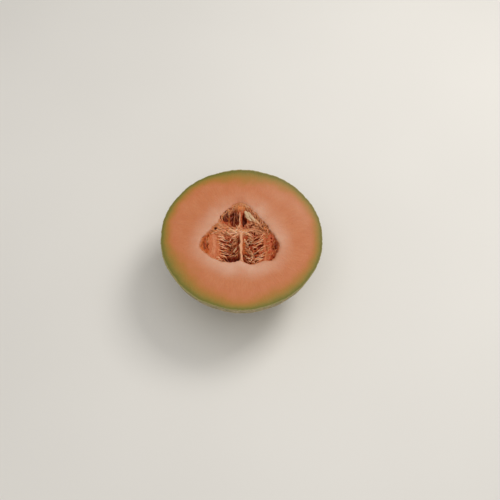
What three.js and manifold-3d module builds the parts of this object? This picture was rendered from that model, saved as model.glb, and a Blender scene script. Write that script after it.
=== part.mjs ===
// Half of a netted muskmelon, cut across its middle and lying cut face up on its blossom end.
// Two pieces: the rind with its flesh, which grew as one, and the seed pulp that fills its hollow.
// Millimetres, +Z up, origin at the middle of the small flat spot that it rests on.
import * as THREE from "three";
import { LoftGeometry } from "three/addons/geometries/LoftGeometry.js";
import { ConvexHull } from "three/addons/math/ConvexHull.js";
import { mergeVertices } from "three/addons/utils/BufferGeometryUtils.js";
import Module from "manifold-3d";

// The whole fruit, an ellipsoid that stands on its blossom end
const EQUATOR_RADIUS = 78.5; // skin at the widest, under the net
const AXIAL_RADIUS = 86; // half the fruit's length
const HEIGHT = 66; // from the resting spot up to the cut face
const REST_TRIM = 1; // how far the blossom end is flattened
const EQUATOR_Z = AXIAL_RADIUS - REST_TRIM;
const SUTURES = 10; // faint grooves from end to end
const SUTURE_DEPTH = 0.5;

// The raised net of cork on the skin
const NET_CELLS = 480; // on the whole fruit, about 13 mm across
const NET_HEIGHT = 1;
const NET_CREST = 0.8; // half the width of a ridge's flat top
const NET_FOOT = 1.9; // half the width of a ridge at the skin
const NET_JITTER = 0.85; // how far a cell may stray, as a share of a cell
const NET_SEED = 7;
const NET_MOST_INSET = 0.9; // share of the way from a corner to its cell's middle
const SCAR_RADIUS = 13; // the smooth blossom scar, where the net fades out
const SCAR_FADE = 10;

// The seed hollow: its outline at the cut, as degrees and distances from the placenta's middle
const HOLLOW_X = -0.4;
const HOLLOW_Y = 2.9;
const HOLLOW_DEPTH = 40;
const HOLLOW_OVERRUN = 5;
const HOLLOW_OUTLINE = [
  [90, 36],
  [62, 28.5],
  [31, 26],
  [5, 31],
  [338, 40],
  [318, 41.5],
  [298, 36],
  [270, 30],
  [248, 33],
  [217, 38.7],
  [197, 41.5],
  [180, 34.5],
  [160, 28.5],
  [124, 29.5],
];
const OUTLINE_STEPS = 36;
const WALL_STEPS = 6; // sections down the hollow's wall
const BOTTOM_SHARE = 0.12; // width of the lowest section

// The pulp: three carpels, each with a spine of placenta from the middle to the wall
const PULP_GAP = 0.4; // clear of the flesh all round
const CORE_GAP = 0.8; // the core keeps a little further back
const PULP_TOP = HEIGHT - 0.4; // level with the cut, where the knife passed
const CORE_TOP = [
  [1, 7],
  [0.93, 5.4],
  [0.78, 4],
  [0.5, 3.2],
  [0.2, 2.4],
]; // share of the outline, and depth below the cut
const SPINES = [270, 32, 143]; // degrees, each to the middle of a side
const SPINE_WIDTH = 2.6;
const CORNERS = [90, 197, 329]; // degrees of the thin walls between carpels
const CORNER_WIDTH = 1.5;
const WALL_FOOT = 12; // how deep the walls are rooted in the core
const HUB_TOP_RADIUS = 2.2;
const HUB_FOOT_RADIUS = 8;
const HUB_SIDES = 10;
const PULP_SEED = 23;

// Strands of pulp, which run off both sides of a spine like gills
const STRAND_FIRST = 5;
const STRAND_SPACING = 3;
const STRAND_LENGTH = 12;
const STRAND_ROOT_RADIUS = 0.9;
const STRAND_TIP_RADIUS = 0.5;
const STRAND_SIDES = 4;
const STRAND_SWEEP = 18; // degrees off square, towards the wall
const STRAND_DROP = 3; // how much lower the tip is
const STRAND_STRAY = 0.22; // how unlike the strands are in length and sweep

// Seeds, in rows along each side of a spine
const SEED_LENGTH = 10.5;
const SEED_WIDTH = 4.6;
const SEED_THICKNESS = 2.2;
const SEED_SIDES = 6;
const SEED_RINGS = 4;
const SEED_POINT = 0.4; // how much narrower the stalk end is
const SEED_FIRST_ROW = 6.5;
const SEED_ROW = 5;
const SEED_FIRST_COLUMN = 9;
const SEED_COLUMN = 8.6;
const SEED_COLUMNS = 4;
const SEED_MARGIN = 4.2; // from the hollow's wall
const SEED_STRAY = 0.9;
const SEED_TILT = 24; // degrees
const SEED_RISE = 0.5; // of its middle above the core

const wasm = await Module();
wasm.setup();

// A seeded source of numbers from 0 to 1
function drawsFrom(seed) {
  let state = seed;
  return () => {
    state = (Math.imul(state, 1664525) + 1013904223) >>> 0;
    return state / 2 ** 32;
  };
}

function solidOf(geometry) {
  const bare = new THREE.BufferGeometry();
  bare.setAttribute("position", geometry.getAttribute("position"));
  bare.setIndex(geometry.getIndex());
  const merged = mergeVertices(bare);
  const vertProperties = merged.getAttribute("position").array;
  const triVerts = new Uint32Array(merged.getIndex().array);
  return new wasm.Manifold(new wasm.Mesh({ numProp: 3, vertProperties, triVerts }));
}

// The largest body of a solid, without loose scraps or sealed hollows
function wholeBody(solid) {
  const bodies = solid.decompose();
  return bodies.reduce((best, body) => (body.volume() > best.volume() ? body : best));
}

function meshOf(name, solid, material) {
  const { vertProperties, triVerts } = wholeBody(solid).getMesh();
  const geometry = new THREE.BufferGeometry();
  geometry.setAttribute("position", new THREE.BufferAttribute(vertProperties, 3));
  geometry.setIndex(new THREE.BufferAttribute(triVerts, 1));
  geometry.computeVertexNormals();
  const mesh = new THREE.Mesh(geometry, material);
  mesh.name = name;
  return mesh;
}

// A point of the skin, or above it by a lift, in a direction from the fruit's middle
function skinPoint(direction, lift) {
  const around = Math.atan2(direction.y, direction.x);
  const suture = (0.5 + 0.5 * Math.cos(SUTURES * around)) ** 3 * Math.hypot(direction.x, direction.y);
  const radius = EQUATOR_RADIUS - SUTURE_DEPTH * suture;
  const slope = new THREE.Vector3(direction.x / radius, direction.y / radius, direction.z / AXIAL_RADIUS);
  return new THREE.Vector3(direction.x * radius, direction.y * radius, direction.z * AXIAL_RADIUS)
    .addScaledVector(slope.normalize(), lift)
    .add(new THREE.Vector3(0, 0, EQUATOR_Z));
}

function netLift(direction) {
  const fromAxis = EQUATOR_RADIUS * Math.hypot(direction.x, direction.y);
  return NET_HEIGHT * THREE.MathUtils.smoothstep(fromAxis, SCAR_RADIUS, SCAR_RADIUS + SCAR_FADE);
}

// Middles of the net's cells: a spiral over the sphere, each point strayed a little
function netSites() {
  const draw = drawsFrom(NET_SEED);
  const golden = Math.PI * (3 - Math.sqrt(5));
  const cell = Math.sqrt((4 * Math.PI) / NET_CELLS);
  return Array.from({ length: NET_CELLS }, (_, i) => {
    const z = 1 - (2 * i + 1) / NET_CELLS;
    const flat = Math.sqrt(1 - z * z);
    const stray = () => (draw() - 0.5) * NET_JITTER * cell;
    const site = new THREE.Vector3(flat * Math.cos(i * golden), flat * Math.sin(i * golden), z);
    return site.add(new THREE.Vector3(stray(), stray(), stray())).normalize();
  });
}

// The corners of each cell, counter-clockwise from outside: a corner is as far from three sites
function cellsAround(sites) {
  const corners = new Map(sites.map((site) => [site, []]));
  for (const face of new ConvexHull().setFromPoints(sites).faces) {
    let edge = face.edge;
    do {
      corners.get(edge.head().point).push(face.normal);
      edge = edge.next;
    } while (edge !== face.edge);
  }
  for (const [site, ring] of corners) {
    const across = new THREE.Vector3(0, 0, 1).cross(site).normalize();
    const along = site.clone().cross(across);
    ring.sort((a, b) => Math.atan2(a.dot(along), a.dot(across)) - Math.atan2(b.dot(along), b.dot(across)));
  }
  return [...corners.values()];
}

function middleOf(corners) {
  const middle = new THREE.Vector3();
  corners.forEach((corner) => middle.add(corner));
  return middle.normalize();
}

// The whole fruit's skin: each cell has a crest, a shoulder and a foot round its flat middle.
// The sites are moved once to the middles of their cells, which evens out the net.
function nettedFruit() {
  const points = [];
  for (const corners of cellsAround(cellsAround(netSites()).map(middleOf))) {
    const middle = middleOf(corners);
    const ring = (inset, lift) =>
      corners.map((corner) => {
        const reach = EQUATOR_RADIUS * corner.distanceTo(middle);
        const direction = corner.clone().lerp(middle, Math.min(inset / reach, NET_MOST_INSET)).normalize();
        return skinPoint(direction, lift * netLift(direction));
      });
    const rings = [ring(0, 1), ring(NET_CREST, 1), ring(NET_FOOT, 0)];
    const floor = skinPoint(middle, 0);
    corners.forEach((_, i) => {
      const j = (i + 1) % corners.length;
      for (let k = 0; k + 1 < rings.length; k++) {
        const [outer, inner] = [rings[k], rings[k + 1]];
        points.push(outer[i], outer[j], inner[j], outer[i], inner[j], inner[i]);
      }
      points.push(rings[2][i], rings[2][j], floor);
    });
  }
  return solidOf(new THREE.BufferGeometry().setFromPoints(points));
}

// Points round the hollow's outline at the cut, about the placenta's middle
const outline = new THREE.CatmullRomCurve3(
  HOLLOW_OUTLINE.map(([degrees, radius]) => {
    const angle = THREE.MathUtils.degToRad(degrees);
    return new THREE.Vector3(radius * Math.cos(angle), radius * Math.sin(angle), 0);
  }).reverse(),
  true,
  "centripetal",
)
  .getSpacedPoints(OUTLINE_STEPS)
  .slice(0, -1);

// One level section of the hollow, shrunk by a share and then by an inset
function section(share, inset, z) {
  return outline.map((point) => {
    const radius = Math.max(point.length() * share - inset, 0.1);
    const place = point.clone().setLength(radius);
    return new THREE.Vector3(HOLLOW_X + place.x, HOLLOW_Y + place.y, z);
  });
}

// Sections of the hollow's wall from its round bottom up to a depth below the cut
function wallSections(inset, topDepth) {
  const steep = Math.acos(BOTTOM_SHARE);
  const top = Math.asin(topDepth / HOLLOW_DEPTH);
  return Array.from({ length: WALL_STEPS + 1 }, (_, i) => {
    const angle = THREE.MathUtils.lerp(steep, top, i / WALL_STEPS);
    return section(Math.cos(angle), inset, HEIGHT - (HOLLOW_DEPTH - inset) * Math.sin(angle));
  });
}

// The hollow, drawn on past the cut so that it opens cleanly
function hollow(inset) {
  const sections = [...wallSections(inset, 0), section(1, inset, HEIGHT + HOLLOW_OVERRUN)];
  return solidOf(new LoftGeometry(sections, { capStart: true, capEnd: true }));
}

// All the room between the resting spot and a level
function roomBelow(level) {
  const wide = 4 * EQUATOR_RADIUS;
  return solidOf(new THREE.BoxGeometry(wide, wide, level).translate(0, 0, level / 2));
}

function melonHalf() {
  return nettedFruit().intersect(roomBelow(HEIGHT)).subtract(hollow(0));
}

// How far the hollow's wall is from the placenta's middle, in a direction
function wallDistance(angle) {
  const turn = (point) => Math.abs(Math.sin((Math.atan2(point.y, point.x) - angle) / 2));
  return outline.reduce((best, point) => (turn(point) < turn(best) ? point : best)).length();
}

// Depth of the core's top below the cut, at a share of the way to the wall
function coreDepth(share) {
  const next = CORE_TOP.findIndex(([edge]) => edge <= share);
  if (next <= 0) return next === 0 ? CORE_TOP[0][1] : CORE_TOP.at(-1)[1];
  const [[outer, low], [inner, high]] = [CORE_TOP[next - 1], CORE_TOP[next]];
  return THREE.MathUtils.mapLinear(share, inner, outer, high, low);
}

function pulpCore() {
  const wall = wallSections(CORE_GAP, CORE_TOP[0][1]);
  const top = CORE_TOP.slice(1).map(([share, depth]) => section(share, CORE_GAP, HEIGHT - depth));
  return solidOf(new LoftGeometry([...wall, ...top], { capStart: true, capEnd: true }));
}

// A thin upright wall of pulp from the middle to the hollow's wall
function pulpWall(degrees, width) {
  const angle = THREE.MathUtils.degToRad(degrees);
  const length = wallDistance(angle);
  const plate = new THREE.BoxGeometry(length, width, WALL_FOOT).translate(length / 2, 0, -WALL_FOOT / 2);
  return solidOf(plate.rotateZ(angle).translate(HOLLOW_X, HOLLOW_Y, HEIGHT));
}

function pulpHub() {
  const hub = new THREE.CylinderGeometry(HUB_TOP_RADIUS, HUB_FOOT_RADIUS, WALL_FOOT, HUB_SIDES);
  return solidOf(hub.rotateX(Math.PI / 2).translate(HOLLOW_X, HOLLOW_Y, HEIGHT - WALL_FOOT / 2));
}

// The strands on one side of a spine, each a thin stalk that dips into the core
function strands(degrees, side, draw) {
  const spine = THREE.MathUtils.degToRad(degrees);
  const count = Math.floor((wallDistance(spine) - STRAND_FIRST) / STRAND_SPACING);
  const unlike = () => 1 + (2 * draw() - 1) * STRAND_STRAY;
  return Array.from({ length: count }, (_, i) => {
    const out = STRAND_FIRST + i * STRAND_SPACING;
    const length = STRAND_LENGTH * unlike();
    const lean = Math.PI / 2 - THREE.MathUtils.degToRad(STRAND_SWEEP * unlike());
    const stalk = new THREE.CylinderGeometry(STRAND_TIP_RADIUS, STRAND_ROOT_RADIUS, length, STRAND_SIDES)
      .translate(0, length / 2, 0)
      .rotateX(-Math.asin(STRAND_DROP / length))
      .rotateZ(spine + side * lean - Math.PI / 2)
      .translate(out * Math.cos(spine), out * Math.sin(spine), -STRAND_ROOT_RADIUS);
    return solidOf(stalk.translate(HOLLOW_X, HOLLOW_Y, HEIGHT));
  });
}

function nearestSpine(angle) {
  const turn = (degrees) => Math.abs(Math.sin((THREE.MathUtils.degToRad(degrees) - angle) / 2));
  return SPINES.reduce((best, degrees) => (turn(degrees) < turn(best) ? degrees : best));
}

function seedGeometry() {
  const seed = new THREE.SphereGeometry(1, SEED_SIDES, SEED_RINGS);
  const place = seed.getAttribute("position");
  for (let i = 0; i < place.count; i++) {
    const narrow = 1 + SEED_POINT * Math.min(place.getY(i), 0);
    place.setX(i, place.getX(i) * narrow);
  }
  return seed.scale(SEED_WIDTH / 2, SEED_LENGTH / 2, SEED_THICKNESS / 2);
}

// The seeds on one side of a spine, stalk end towards it, half sunk in the core
function seeds(degrees, side, draw) {
  const spine = THREE.MathUtils.degToRad(degrees);
  const facing = spine + (side * Math.PI) / 2;
  const stray = (size) => (2 * draw() - 1) * size;
  const made = [];
  for (let column = 0; column < SEED_COLUMNS; column++) {
    for (let out = SEED_FIRST_ROW; out < wallDistance(spine) + SEED_ROW; out += SEED_ROW) {
      const across = SEED_FIRST_COLUMN + column * SEED_COLUMN + stray(SEED_STRAY);
      const x = out * Math.cos(spine) + across * Math.cos(facing) + stray(SEED_STRAY);
      const y = out * Math.sin(spine) + across * Math.sin(facing) + stray(SEED_STRAY);
      const tilts = [stray(SEED_TILT), stray(SEED_TILT), stray(SEED_TILT)].map(THREE.MathUtils.degToRad);
      const angle = Math.atan2(y, x);
      const share = Math.hypot(x, y) / wallDistance(angle);
      if (Math.hypot(x, y) > wallDistance(angle) - SEED_MARGIN) continue;
      if (nearestSpine(angle) !== degrees) continue;
      const seed = seedGeometry()
        .rotateY(tilts[0])
        .rotateX(tilts[1])
        .rotateZ(facing - Math.PI / 2 + tilts[2])
        .translate(HOLLOW_X + x, HOLLOW_Y + y, HEIGHT - coreDepth(share) + SEED_RISE);
      made.push(solidOf(seed));
    }
  }
  return made;
}

function seedPulp() {
  const draw = drawsFrom(PULP_SEED);
  const pieces = [pulpHub()];
  CORNERS.forEach((degrees) => pieces.push(pulpWall(degrees, CORNER_WIDTH)));
  SPINES.forEach((degrees) => {
    pieces.push(pulpWall(degrees, SPINE_WIDTH));
    for (const side of [-1, 1]) {
      pieces.push(...strands(degrees, side, draw), ...seeds(degrees, side, draw));
    }
  });
  const pulp = pieces.reduce((whole, piece) => whole.add(piece), pulpCore());
  return pulp.intersect(hollow(PULP_GAP)).intersect(roomBelow(PULP_TOP));
}

const fleshMaterial = new THREE.MeshStandardMaterial({ color: 0xd88456, roughness: 0.45, metalness: 0 });
const pulpMaterial = new THREE.MeshStandardMaterial({ color: 0xb0643a, roughness: 0.35, metalness: 0 });

const melon = new THREE.Group();
melon.add(meshOf("melon_half", melonHalf(), fleshMaterial));
melon.add(meshOf("seed_pulp", seedPulp(), pulpMaterial));

export default melon;
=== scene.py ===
# %% [markdown]
# # Half a cantaloupe, cut face up
#
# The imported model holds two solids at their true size: the half itself, rind and flesh in one, and
# the seed pulp that fills its hollow. This lesson dresses both. It makes a finer mesh for each, adds
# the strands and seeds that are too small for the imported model, and gives every surface a material
# made of nodes. All sizes below are in millimetres, as on a drawing, and turn into Blender's metres
# at the moment a mesh is made.

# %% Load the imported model
import math

import bmesh
import bpy
import numpy as np
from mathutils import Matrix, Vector
from mathutils.kdtree import KDTree


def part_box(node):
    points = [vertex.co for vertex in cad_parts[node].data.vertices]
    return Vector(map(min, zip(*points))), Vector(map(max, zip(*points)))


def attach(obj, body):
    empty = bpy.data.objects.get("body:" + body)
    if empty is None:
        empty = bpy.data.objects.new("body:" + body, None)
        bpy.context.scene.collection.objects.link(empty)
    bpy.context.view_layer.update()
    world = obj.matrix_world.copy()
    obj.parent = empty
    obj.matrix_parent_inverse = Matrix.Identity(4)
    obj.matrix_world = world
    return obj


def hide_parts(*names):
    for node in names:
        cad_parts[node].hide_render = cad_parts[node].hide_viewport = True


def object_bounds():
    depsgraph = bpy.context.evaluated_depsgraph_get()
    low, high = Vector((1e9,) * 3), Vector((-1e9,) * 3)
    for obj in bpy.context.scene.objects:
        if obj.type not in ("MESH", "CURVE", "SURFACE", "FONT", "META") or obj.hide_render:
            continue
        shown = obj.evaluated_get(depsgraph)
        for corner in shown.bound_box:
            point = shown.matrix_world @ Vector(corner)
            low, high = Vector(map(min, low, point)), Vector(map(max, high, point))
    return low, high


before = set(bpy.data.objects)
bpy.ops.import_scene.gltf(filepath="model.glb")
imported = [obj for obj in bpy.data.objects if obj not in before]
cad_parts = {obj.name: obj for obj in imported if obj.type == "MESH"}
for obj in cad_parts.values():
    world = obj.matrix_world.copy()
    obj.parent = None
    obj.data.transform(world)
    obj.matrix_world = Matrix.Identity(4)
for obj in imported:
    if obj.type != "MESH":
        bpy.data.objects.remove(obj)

MM = 0.001
cad_low, cad_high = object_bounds()
print("packed box in mm", [round(x / MM, 1) for x in (*cad_low, *cad_high)])

# %% [markdown]
# ## Chance that repeats
#
# A fruit is never even, so nearly every step below needs random values. They could come from
# Python's random module, but a value that belongs to a place is more useful: the same spot then
# always gets the same value, whatever order the work is done in. `chance` scrambles whole numbers,
# and `lumps` blends the chances of the eight corners around a point into smooth hills and dips. Each
# use of `lumps` has a seed of its own, so that no two patterns are alike.

# %% Chance and lumps
HASH_STEPS = np.array([73856093, 19349663, 83492791])
HASH_MIX = 0x45D9F3B
HASH_MASK = 0xFFFFFFFF
SEED_STEP = 1013
FIRST_CELL = 100.0


def chance(keys):
    """A fixed random value from 0 to 1 for each whole number."""
    keys = np.asarray(keys, np.int64) & HASH_MASK
    for _ in range(2):
        keys = (keys ^ (keys >> 16)) * HASH_MIX & HASH_MASK
    return (keys ^ (keys >> 16)) / (HASH_MASK + 1)


def gentle(share):
    """A share from 0 to 1 that starts and ends slowly."""
    return share * share * (3 - 2 * share)


def lumps(points, size, seed=0):
    """Smooth random values from -1 to 1 that change over about this size."""
    place = points / size + FIRST_CELL
    cell = np.floor(place).astype(np.int64)
    share = gentle(place - cell)
    total = np.zeros(len(points))
    for corner in np.ndindex(2, 2, 2):
        weight = np.where(corner, share, 1 - share).prod(axis=1)
        total += weight * chance((cell + corner) @ HASH_STEPS + SEED_STEP * seed)
    return 2 * total - 1


print("lumps of one point", round(float(lumps(np.array([[1.5, 2.5, 3.5]]), 2.0)[0]), 3))


# %% Steps, mixes and directions
def step(low, high, value):
    """A smooth step from 0 at low to 1 at high."""
    return gentle(np.clip((value - low) / (high - low), 0, 1))


def mix(start, end, share):
    return start + (end - start) * share


def unit(vectors):
    return vectors / np.linalg.norm(vectors, axis=-1, keepdims=True)


def level(points):
    """Flat points as points in space, so that lumps can read them."""
    return np.column_stack([points, np.zeros(len(points))])


print("a quarter of the way up a step", step(0, 4, 1.0), "and of a mix", mix(0, 4, 0.25))

# %% [markdown]
# ## Meshes made of rings
#
# The half and its pulp are both round bodies, so a stack of closed rings fits them well: out from
# the middle of the resting spot, up the rind, in across the cut and down into the hollow. A ring
# near the axis needs fewer points than one at the rim, so a ring may have twice or half as many
# points as the one before it, and `stitch` fills the step with triangles. A sphere with a
# displacement modifier would be quicker to write, but it has no edge where the knife passed.


# %% Stitch rings into faces
def stitch(counts):
    """Faces between closed rings of these point counts. A count of 1 is a point on the axis."""
    faces = []
    start = 0
    for n, m in zip(counts, counts[1:]):
        a = start + np.arange(n)
        b = start + n + np.arange(m)
        a_next = np.roll(a, -1)
        b_next = np.roll(b, -1)
        if n == 1:
            strips = [(np.repeat(a, m), b_next, b)]
        elif m == 1:
            strips = [(a, a_next, np.repeat(b, n))]
        elif n == m:
            strips = [(a, a_next, b_next, b)]
        elif n == 2 * m:
            left, middle, right = a[0::2], a[1::2], np.roll(a, -2)[0::2]
            strips = [(left, middle, b), (middle, b_next, b), (middle, right, b_next)]
        else:
            left, middle, right = b[0::2], b[1::2], np.roll(b, -2)[0::2]
            strips = [(a, middle, left), (a, a_next, middle), (a_next, right, middle)]
        for strip in strips:
            faces += np.stack(strip, axis=1).tolist()
        start += n
    return faces


def make_piece(name, points, faces, values):
    """A smooth mesh object from points in millimetres, with named values on each point."""
    mesh = bpy.data.meshes.new(name)
    mesh.from_pydata((np.asarray(points) * MM).tolist(), [], faces)
    for label, data in values.items():
        mesh.attributes.new(label, "FLOAT", "POINT").data.foreach_set("value", data)
    mesh.shade_smooth()
    piece = bpy.data.objects.new(name, mesh)
    bpy.context.scene.collection.objects.link(piece)
    print(name, len(points), "points", len(faces), "faces")
    return piece


print("a point, a ring of 6, one of 12 and a point:", len(stitch([1, 6, 12, 1])), "faces")

# %% [markdown]
# ## The fruit's own shape
#
# The whole melon was an ellipsoid a little longer than wide, with faint grooves from end to end. It
# stood on its blossom end and was cut a little below its widest place, so the wall leans in
# slightly under the cut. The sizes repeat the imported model's, and the level of the cut is read
# from it.

# %% Skin of the whole fruit
EQUATOR_RADIUS = 78.5
AXIAL_RADIUS = 86.0
EQUATOR_Z = 85.0
SUTURES = 10
SUTURE_DEPTH = 0.5
SUTURE_SHARPNESS = 3
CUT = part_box("melon_half")[1].z / MM


def skin(ways, lift):
    """Points of the skin, raised by a lift, for unit directions from the fruit's middle."""
    around = np.arctan2(ways[:, 1], ways[:, 0])
    groove = (0.5 + 0.5 * np.cos(SUTURES * around)) ** SUTURE_SHARPNESS
    radius = EQUATOR_RADIUS - SUTURE_DEPTH * (groove * np.hypot(ways[:, 0], ways[:, 1]))
    sizes = np.stack([radius, radius, np.full_like(radius, AXIAL_RADIUS)], axis=1)
    return ways * sizes + unit(ways / sizes) * lift[:, None] + (0, 0, EQUATOR_Z)


print("cut at", round(CUT, 2), "mm above the resting spot")

# %% [markdown]
# ## The corky net
#
# As the fruit swells its skin cracks, and the cracks heal over with pale cork. The cracks divide
# the skin into cells, much as drying mud does, so the net follows the borders between scattered
# sites: a point is on a ridge where its two nearest sites are equally far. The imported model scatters
# its sites by the same rule and the same chances, so both have the same net. Here the borders also
# wander, each ridge has its own width and height, and a second, finer net partly fills the cells.
# A displacement texture could draw cells too, but not the same ones.

# %% Sites of the net
NET_CELLS = 480
NET_SEED = 7
FINE_CELLS = 2100
FINE_SEED = 11
NET_JITTER = 0.85
DRAW_RANGE = 2**32


def draws_from(seed):
    """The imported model's own source of chances."""
    state = seed
    while True:
        state = (state * 1664525 + 1013904223) % DRAW_RANGE
        yield state / DRAW_RANGE


def centred(sites):
    """Each site moved to the middle of its cell: the corners are the normals of the sites' hull.

    A site that lies so near another that the hull leaves it out stays where it is.
    """
    hull = bmesh.new()
    corners = [hull.verts.new(site) for site in sites]
    bmesh.ops.convex_hull(hull, input=corners)
    hull.normal_update()
    middles = [sum((face.normal for face in vert.link_faces), Vector()) for vert in corners]
    middles = [m if m.length > 0 else v.co for m, v in zip(middles, corners)]
    middles = np.array([m if m.dot(v.co) > 0 else -m for m, v in zip(middles, corners)])
    hull.free()
    return unit(middles)


def spread_sites(count, seed):
    """Sites spread over a sphere along a spiral, each strayed a little and then centred."""
    chances = draws_from(seed)
    order = np.arange(count)
    z = 1 - (2 * order + 1) / count
    turn = order * math.pi * (3 - math.sqrt(5))
    flat = np.sqrt(1 - z * z)
    sites = np.stack([flat * np.cos(turn), flat * np.sin(turn), z], axis=1)
    strays = np.array([next(chances) for _ in range(3 * count)]).reshape(count, 3) - 0.5
    return centred(unit(sites + strays * NET_JITTER * math.sqrt(4 * math.pi / count)))


net_sites = spread_sites(NET_CELLS, NET_SEED)
fine_sites = spread_sites(FINE_CELLS, FINE_SEED)
print(len(net_sites), "cells in the net,", len(fine_sites), "in the fine one")

# %% Where the net is
SCAR_RADIUS = 13.0
SCAR_FADE = 10.0
SCAR_NET = 0.12
PAIR_KEY = 4099


def border_gap(ways, sites):
    """Distance in mm to the nearest border between two sites, and a chance for that border."""
    tree = KDTree(len(sites))
    for index, site in enumerate(sites):
        tree.insert(site, index)
    tree.balance()
    pairs = np.array([[found[1] for found in tree.find_n(way, 2)] for way in ways])
    apart = sites[pairs[:, 0]] - sites[pairs[:, 1]]
    gap = EQUATOR_RADIUS * np.abs((ways * unit(apart)).sum(axis=1))
    return gap, chance(pairs.min(axis=1) * PAIR_KEY + pairs.max(axis=1))


def wander(ways, size, reach, seed):
    """Directions strayed by up to reach mm, by lumps of this size."""
    spots = ways * EQUATOR_RADIUS
    strays = np.stack([lumps(spots, size, seed + axis) for axis in range(3)], axis=1)
    return unit(ways + strays * reach / EQUATOR_RADIUS)


def ridge_across(gap, width, crest, foot):
    """1 on the crest of a ridge and 0 past its foot, both given as shares of its width."""
    return 1 - step(crest * width, foot * width, gap)


def net_over(ways):
    """How much of a ridge there is, from 0 to 1, for the net and for the finer one."""
    spots = ways * EQUATOR_RADIUS
    strayed = wander(wander(ways, size=6.0, reach=1.5, seed=20), size=2.2, reach=0.5, seed=30)
    gap, luck = border_gap(strayed, net_sites)
    width = 0.85 + 0.55 * luck + 0.3 * lumps(spots, 3.0, seed=40)
    ridge = ridge_across(gap, width, crest=0.35, foot=1.45) * (0.72 + 0.28 * luck)
    gap, luck = border_gap(wander(strayed, size=3.0, reach=0.8, seed=50), fine_sites)
    there = step(-0.75, -0.1, lumps(spots, 14.0, seed=60) + 0.8 * (luck - 0.35))
    fine = ridge_across(gap, 0.5 + 0.4 * luck, crest=0.3, foot=1.8) * there
    off_scar = step(SCAR_RADIUS, SCAR_RADIUS + SCAR_FADE, np.hypot(spots[:, 0], spots[:, 1]))
    return ridge * mix(off_scar, 1, SCAR_NET), fine * off_scar


print("ridge at the first cell's middle", round(float(net_over(net_sites[:1])[0][0]), 2))

# %% [markdown]
# ## The outline of the hollow
#
# The seeds hang in three carpels, so the hollow is a rounded triangle with a dent where the nearest
# spine of placenta meets the flesh. A few distances from the placenta's middle give its outline.
# A Bezier curve drawn by hand would do as well. A cubic through a few distances, closed on itself, is
# easier to change, and both the flesh and the pulp can read it at any angle.

# %% Outline of the hollow
HOLLOW_MIDDLE = np.array([-0.4, 2.9])
HOLLOW_DEPTH = 40.0
RAGGED = 0.7
FAR_RAGGED = 1.1
HOLLOW_OUTLINE = [
    (5, 30.4), (31, 26), (62, 28.5), (90, 36), (124, 29.5), (160, 28.5), (180, 34.5), (197, 41.5),
    (217, 38.7), (248, 33), (270, 29.8), (279, 32.6), (289, 35.2), (298, 36), (307, 37.4), (317, 41.4),
    (328, 40.4), (338, 39.8), (346, 36.6), (354, 33.2),
]


def round_curve(table, turn):
    """A smooth closed curve through pairs of degrees and values, read at angles in radians."""
    angles = np.radians([degrees for degrees, _ in table])
    values = np.array([value for _, value in table], float)
    angles = np.concatenate([angles[-2:] - 2 * math.pi, angles, angles[:2] + 2 * math.pi])
    values = np.concatenate([values[-2:], values, values[:2]])
    slopes = np.gradient(values, angles)
    turn = np.mod(turn - angles[2], 2 * math.pi) + angles[2]
    at = np.clip(np.searchsorted(angles, turn, side="right") - 1, 0, len(angles) - 2)
    span = angles[at + 1] - angles[at]
    t = (turn - angles[at]) / span
    ends = (1 + 2 * t) * (1 - t) ** 2 * values[at] + t * t * (3 - 2 * t) * values[at + 1]
    return ends + span * (t * (1 - t) ** 2 * slopes[at] - t * t * (1 - t) * slopes[at + 1])


def hollow_reach(turn):
    """Distance from the placenta's middle to the hollow's ragged edge."""
    reach = round_curve(HOLLOW_OUTLINE, turn)
    spots = level(reach[:, None] * np.stack([np.cos(turn), np.sin(turn)], axis=1))
    ragged = mix(RAGGED, FAR_RAGGED, step(-6, 8, spots[:, 1]))
    return reach + ragged * (lumps(spots, 5.0, seed=84) + 0.6 * lumps(spots, 2.0, seed=85) - 0.3)


def hollow_edge(turn, inset=0.0):
    """Points of the hollow's edge at the cut, in the plane."""
    reach = hollow_reach(turn) - inset
    return HOLLOW_MIDDLE + np.stack([reach * np.cos(turn), reach * np.sin(turn)], axis=1)


print("hollow from", round(hollow_reach(np.radians(np.arange(360))).min(), 1), "mm out")

# %% [markdown]
# ## Rind and flesh
#
# One closed mesh holds the whole half: resting spot, rind, cut face and the wall of the hollow. The
# net is real relief, up to three quarters of a millimetre high. Bump in the material would be
# cheaper, but the outline of the fruit would stay smooth. Values go with each point for the materials
# to read: how much cork there is, how deep the point lies under the skin, how pale the flesh is
# there, how far below the cut it is, and three that draw a pattern out into rays from the middle.

# %% Rings of the rind, from the resting spot up
RIM_POINTS = 640
RIND_RINGS = 138
HALF_AT = 46.0
QUARTER_AT = 23.0
NET_HEIGHT = 0.75
FINE_HEIGHT = 0.52
FINE_CORK = 0.9
CRUST = 0.10
DIMPLE = 0.12
SKIN_LIFT = 0.5
RIM_NET = 0.55
RIM_FADE = 6.0
cut_angle = math.acos((CUT - EQUATOR_Z) / AXIAL_RADIUS)
rest_angle = math.acos(-EQUATOR_Z / AXIAL_RADIUS)


def ring_count(radius):
    return RIM_POINTS // (4 if radius < QUARTER_AT else 2 if radius < HALF_AT else 1)


def turns(count):
    return np.arange(count) * 2 * math.pi / count


def ring_ways(angle):
    """Directions from the fruit's middle to a ring of the skin."""
    around = turns(ring_count(EQUATOR_RADIUS * math.sin(angle)))
    flat = math.sin(angle) * np.ones_like(around)
    return np.stack([flat * np.cos(around), flat * np.sin(around), 0 * around + math.cos(angle)], 1)


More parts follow.
